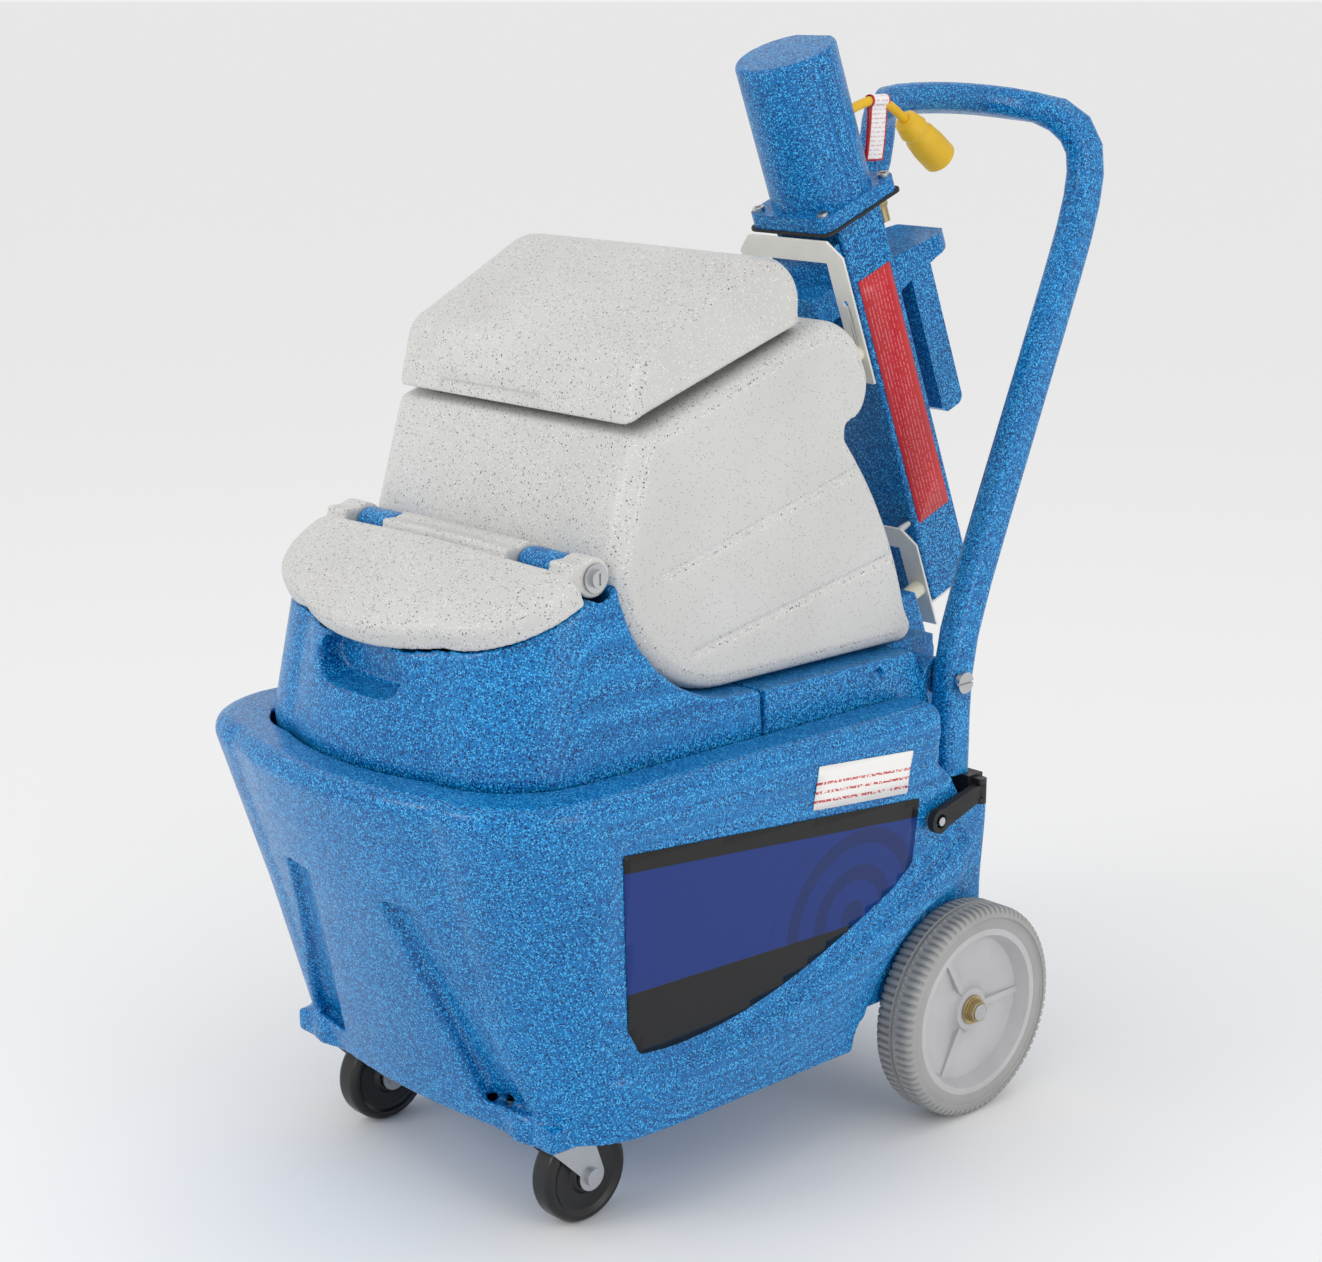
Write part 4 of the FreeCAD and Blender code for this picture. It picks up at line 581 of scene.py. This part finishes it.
def treaded_tyre(node):
    """A solid tyre with two rows of lateral grooves either side of a centre groove."""
    low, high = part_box(node)
    side = 1 if high.x > 0 else -1
    outer, inner = (high.x, low.x) if side > 0 else (-low.x, -high.x)
    middle_y, middle_z = (low.y + high.y) / 2, (low.z + high.z) / 2
    tread = (high.z - low.z) / 2
    hub_low, hub_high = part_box(node.replace("tyre", "wheel_hub"))
    rim = (hub_high.z - hub_low.z) / 2
    profile = tyre_profile(outer, inner, rim, tread)
    per_groove = 6
    turns = TREAD_COUNT * per_groove
    points, faces = [], []
    for k in range(turns):
        phase = k % per_groove
        for x, radius in profile:
            row = -1 if x < (outer + inner) / 2 else 1
            shifted = (phase + (3 if row > 0 else 0)) % per_groove
            tread_zone = radius > tread - 0.006 and abs(x - (outer + inner) / 2) > 0.003
            if tread_zone and shifted in (0, 1):
                radius -= TREAD_DEPTH
            angle = 2 * math.pi * k / turns
            points.append((side * x, middle_y + radius * math.cos(angle),
                           middle_z + radius * math.sin(angle)))
    count = len(profile)
    for k in range(turns):
        after = (k + 1) % turns
        for j in range(count):
            following = (j + 1) % count
            quad = (k * count + j, k * count + following, after * count + following, after * count + j)
            faces.append(quad if side < 0 else quad[::-1])
    mesh = bpy.data.meshes.new(f"{node}_treaded")
    mesh.from_pydata(points, [], faces)
    piece = linked(f"{node}_treaded", mesh, MATERIALS["grey_tyre"])
    set_smooth_between_edges(mesh, 40)
    return standing_for(piece, node)


def set_smooth_between_edges(mesh, degrees):
    mesh.polygons.foreach_set("use_smooth", [True] * len(mesh.polygons))
    form = bmesh.new()
    form.from_mesh(mesh)
    bmesh.ops.recalc_face_normals(form, faces=form.faces)
    for edge in form.edges:
        edge.smooth = len(edge.link_faces) != 2 or edge.calc_face_angle() < math.radians(degrees)
    form.to_mesh(mesh)
    form.free()


# ---------------------------------------------------------------- stickers
def surface_of(piece):
    graph = bpy.context.evaluated_depsgraph_get()
    return BVHTree.FromObject(piece, graph)


def rounded(corners, radius, steps=5):
    """A 2-D outline with its corners rounded."""
    out = []
    count = len(corners)
    for k, corner in enumerate(corners):
        here = Vector(corner)
        back = (Vector(corners[k - 1]) - here).normalized() * radius
        on = (Vector(corners[(k + 1) % count]) - here).normalized() * radius
        for s in range(steps + 1):
            t = s / steps
            out.append((here + back) * (1 - t) ** 2 + here * 2 * t * (1 - t) + (here + on) * t * t)
    return out


def sticker(name, outline, place, toward, surface, step, thickness, material, body):
    """A thin film laid on a surface: an outline cut to a grid, dropped onto it and thickened."""
    form = bmesh.new()
    form.faces.new([form.verts.new((p[0], p[1], 0)) for p in outline])
    for axis in (0, 1):
        low, high = min(p[axis] for p in outline), max(p[axis] for p in outline)
        for k in range(1, int((high - low) / step) + 1):
            at = [0, 0, 0]
            way = [0, 0, 0]
            at[axis], way[axis] = low + k * step, 1
            bmesh.ops.bisect_plane(form, geom=form.verts[:] + form.edges[:] + form.faces[:],
                                   plane_co=at, plane_no=way)
    toward = Vector(toward).normalized()
    for vert in form.verts:
        start = place(vert.co.x, vert.co.y)
        hit = surface.ray_cast(start, toward)[0]
        vert.co = (hit if hit is not None else start) - toward * thickness
    bmesh.ops.recalc_face_normals(form, faces=form.faces)
    bmesh.ops.triangulate(form, faces=[f for f in form.faces if len(f.verts) > 4])
    mesh = bpy.data.meshes.new(name)
    form.to_mesh(mesh)
    form.free()
    mesh.polygons.foreach_set("use_smooth", [True] * len(mesh.polygons))
    piece = linked(name, mesh, material)
    solid = piece.modifiers.new("film", "SOLIDIFY")
    solid.thickness = thickness * 0.8
    solid.offset = 0
    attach(piece, body)
    return piece


def tower_place(x, y, z):
    """A point given in the heater tower's own leaning frame."""
    foot_y, foot_z = HEATER_FOOT[0] + FRAME_SHIFT, HEATER_FOOT[1]
    c, s = math.cos(HEATER_LEAN), math.sin(HEATER_LEAN)
    return Vector((x, foot_y + y * c - z * s, foot_z + y * s + z * c))


def side_film_outline():
    """The side decal's outline in (Y, Z): it follows the fender line along its foot."""
    corners = [(-0.272, 0.357), (0.088, 0.325), (0.088, 0.262)]
    corners += [tuple(p + np.array((-0.004, 0.010))) for p in reversed(FENDER_LINE)
                if -0.205 < p[0] < 0.070]
    corners += [(-0.236, 0.170), (-0.252, 0.196)]
    return rounded(corners, 0.003)


def make_side_films(tub_surface):
    film = side_decal("side_film", Vector((0, -0.272, 0.170)), Vector((0, 0.088, 0.357)))
    outline = side_film_outline()
    for side, word in ((1, "left"), (-1, "right")):
        sticker(f"side_decal_{word}", outline, lambda u, v, side=side: Vector((side * 0.3, u, v)),
                (-side, 0, 0), tub_surface, 0.010, 0.0006, film, "frame")


def make_side_label(tub_surface):
    label = lined_label("side_label_print", srgb(240, 238, 236), srgb(196, 60, 60), (0.1, 0.995),
                        0.336, 0.0085, 4, 0.3)
    outline = rounded([(-0.052, 0.345), (-0.052, 0.386), (0.070, 0.375), (0.070, 0.334)], 0.002)
    sticker("side_label", outline, lambda u, v: Vector((0.3, u, v)), (-1, 0, 0), tub_surface, 0.02,
            0.0006, label, "frame")


def make_heater_label():
    tower = surface_of(frame["nodes"]["heater_box"])
    across = (math.cos(HEATER_LEAN), math.sin(HEATER_LEAN))
    first = tower_place(0, -0.019, 0.2)
    red = lined_label("heater_label_print", srgb(200, 12, 26), srgb(222, 120, 128), across,
                      first.y * across[0] + first.z * across[1], 0.0044, 8, 0.26)
    outline = rounded([(-0.024, 0.085), (0.022, 0.085), (0.022, 0.345), (-0.024, 0.345)], 0.002)
    sticker("heater_label", outline, lambda u, v: tower_place(0.2, u, v), (-1, 0, 0), tower, 0.04,
            0.0005, red, "frame")


# ---------------------------------------------------------------- lead and tag
def make_lead():
    """The short yellow lead on the tower's cap, with its hanging tag."""
    curve = bpy.data.curves.new("pigtail_lead", "CURVE")
    curve.dimensions = "3D"
    curve.bevel_depth = CORD_DIAMETER / 2
    curve.bevel_resolution = 6
    curve.use_fill_caps = True
    spline = curve.splines.new("NURBS")
    spline.points.add(len(CORD_POINTS) - 1)
    for point, place in zip(spline.points, CORD_POINTS):
        point.co = (*place, 1.0)
    spline.order_u = 3
    spline.use_endpoint_u = True
    spline.resolution_u = 12
    curve.materials.append(MATERIALS["yellow_cord"])
    lead = bpy.data.objects.new("pigtail_lead", curve)
    bpy.context.scene.collection.objects.link(lead)
    standing_for(lead, "pigtail_cord")
    tag = hanging_tag()


def tag_print():
    """White film with a red border and faint bars."""
    material, tree, shader = blank("tag_print", 0.5)
    low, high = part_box("cord_tag")
    x, y, z = axes_of(tree)
    middle = (low.y + high.y) / 2
    off = calculate(tree, "ABSOLUTE", calculate(tree, "SUBTRACT", y, middle))
    edge = calculate(tree, "GREATER_THAN", off, 0.0098)
    foot = calculate(tree, "LESS_THAN", z, low.z + 0.0025)
    border = calculate(tree, "MAXIMUM", edge, foot)
    row = calculate(tree, "FRACT", calculate(tree, "DIVIDE", z, 0.0042))
    line = calculate(tree, "MULTIPLY", calculate(tree, "LESS_THAN", row, 0.3),
                     calculate(tree, "GREATER_THAN", noise(tree, 500.0), 0.48))
    paper = mixed(tree, calculate(tree, "MULTIPLY", line, 0.55), srgb(244, 240, 238), srgb(200, 90, 96))
    tree.links.new(mixed(tree, border, paper, srgb(206, 40, 52)), shader.inputs["Base Color"])
    bumped(tree, shader, noise(tree, 200.0), 0.05, 0.0005)
    return material


def hanging_tag():
    """A strip folded over the lead, its two leaves meeting and curling a little."""
    low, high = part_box("cord_tag")
    middle = (Vector(CORD_POINTS[1]) + Vector(CORD_POINTS[2])) / 2
    ring = CORD_DIAMETER / 2 + 0.0009
    path = []
    leaf = middle.z - low.z - 0.0006
    for k in range(15):
        t = k / 14
        drop = leaf + (0.007 - leaf) * t
        path.append((-0.0007 - 0.0045 * (1 - t) ** 2 - 0.001 * t, -drop))
    for k in range(15):
        angle = math.radians(240 - 300 * k / 14)
        path.append((ring * math.cos(angle), ring * math.sin(angle)))
    for k in range(15):
        t = k / 14
        drop = 0.007 + (leaf - 0.007) * t
        path.append((0.0007 + 0.001 * (1 - t) - 0.0035 * t ** 2, -drop))
    width = high.y - low.y
    across = 8
    points, faces = [], []
    for x, z in path:
        for k in range(across + 1):
            y = width * (k / across - 0.5)
            points.append((middle.x + x + 0.0012 * math.cos(y * 180), middle.y + y, middle.z + z))
    for row in range(len(path) - 1):
        for k in range(across):
            a = row * (across + 1) + k
            faces.append((a, a + 1, a + across + 2, a + across + 1))
    mesh = bpy.data.meshes.new("folded_tag")
    mesh.from_pydata(points, [], faces)
    mesh.polygons.foreach_set("use_smooth", [True] * len(mesh.polygons))
    tag = linked("folded_tag", mesh, tag_print())
    solid = tag.modifiers.new("film", "SOLIDIFY")
    solid.thickness = 0.0004
    return standing_for(tag, "cord_tag")


# ---------------------------------------------------------------- build
make_camera()
make_studio()
make_materials()
dress_hard_parts()
make_lead()
tub = moulding("base_tub", 12, tub_shape)
moulding("solution_tank", 10)
moulding("rear_housing", 7, housing_shape, voxel=0.002)
moulding("recovery_tank", 14, tank_shape)
moulding("recovery_lid", 8, dome_lid_shape, voxel=FINE_VOXEL)
moulding("solution_lid", 7, crown(0.005, (0, -0.31), (0.16, 0.07)), voxel=FINE_VOXEL)
for side in ("left", "right"):
    treaded_tyre(f"tyre_{side}")
tub_surface = surface_of(tub)
make_side_films(tub_surface)
make_side_label(tub_surface)
make_heater_label()
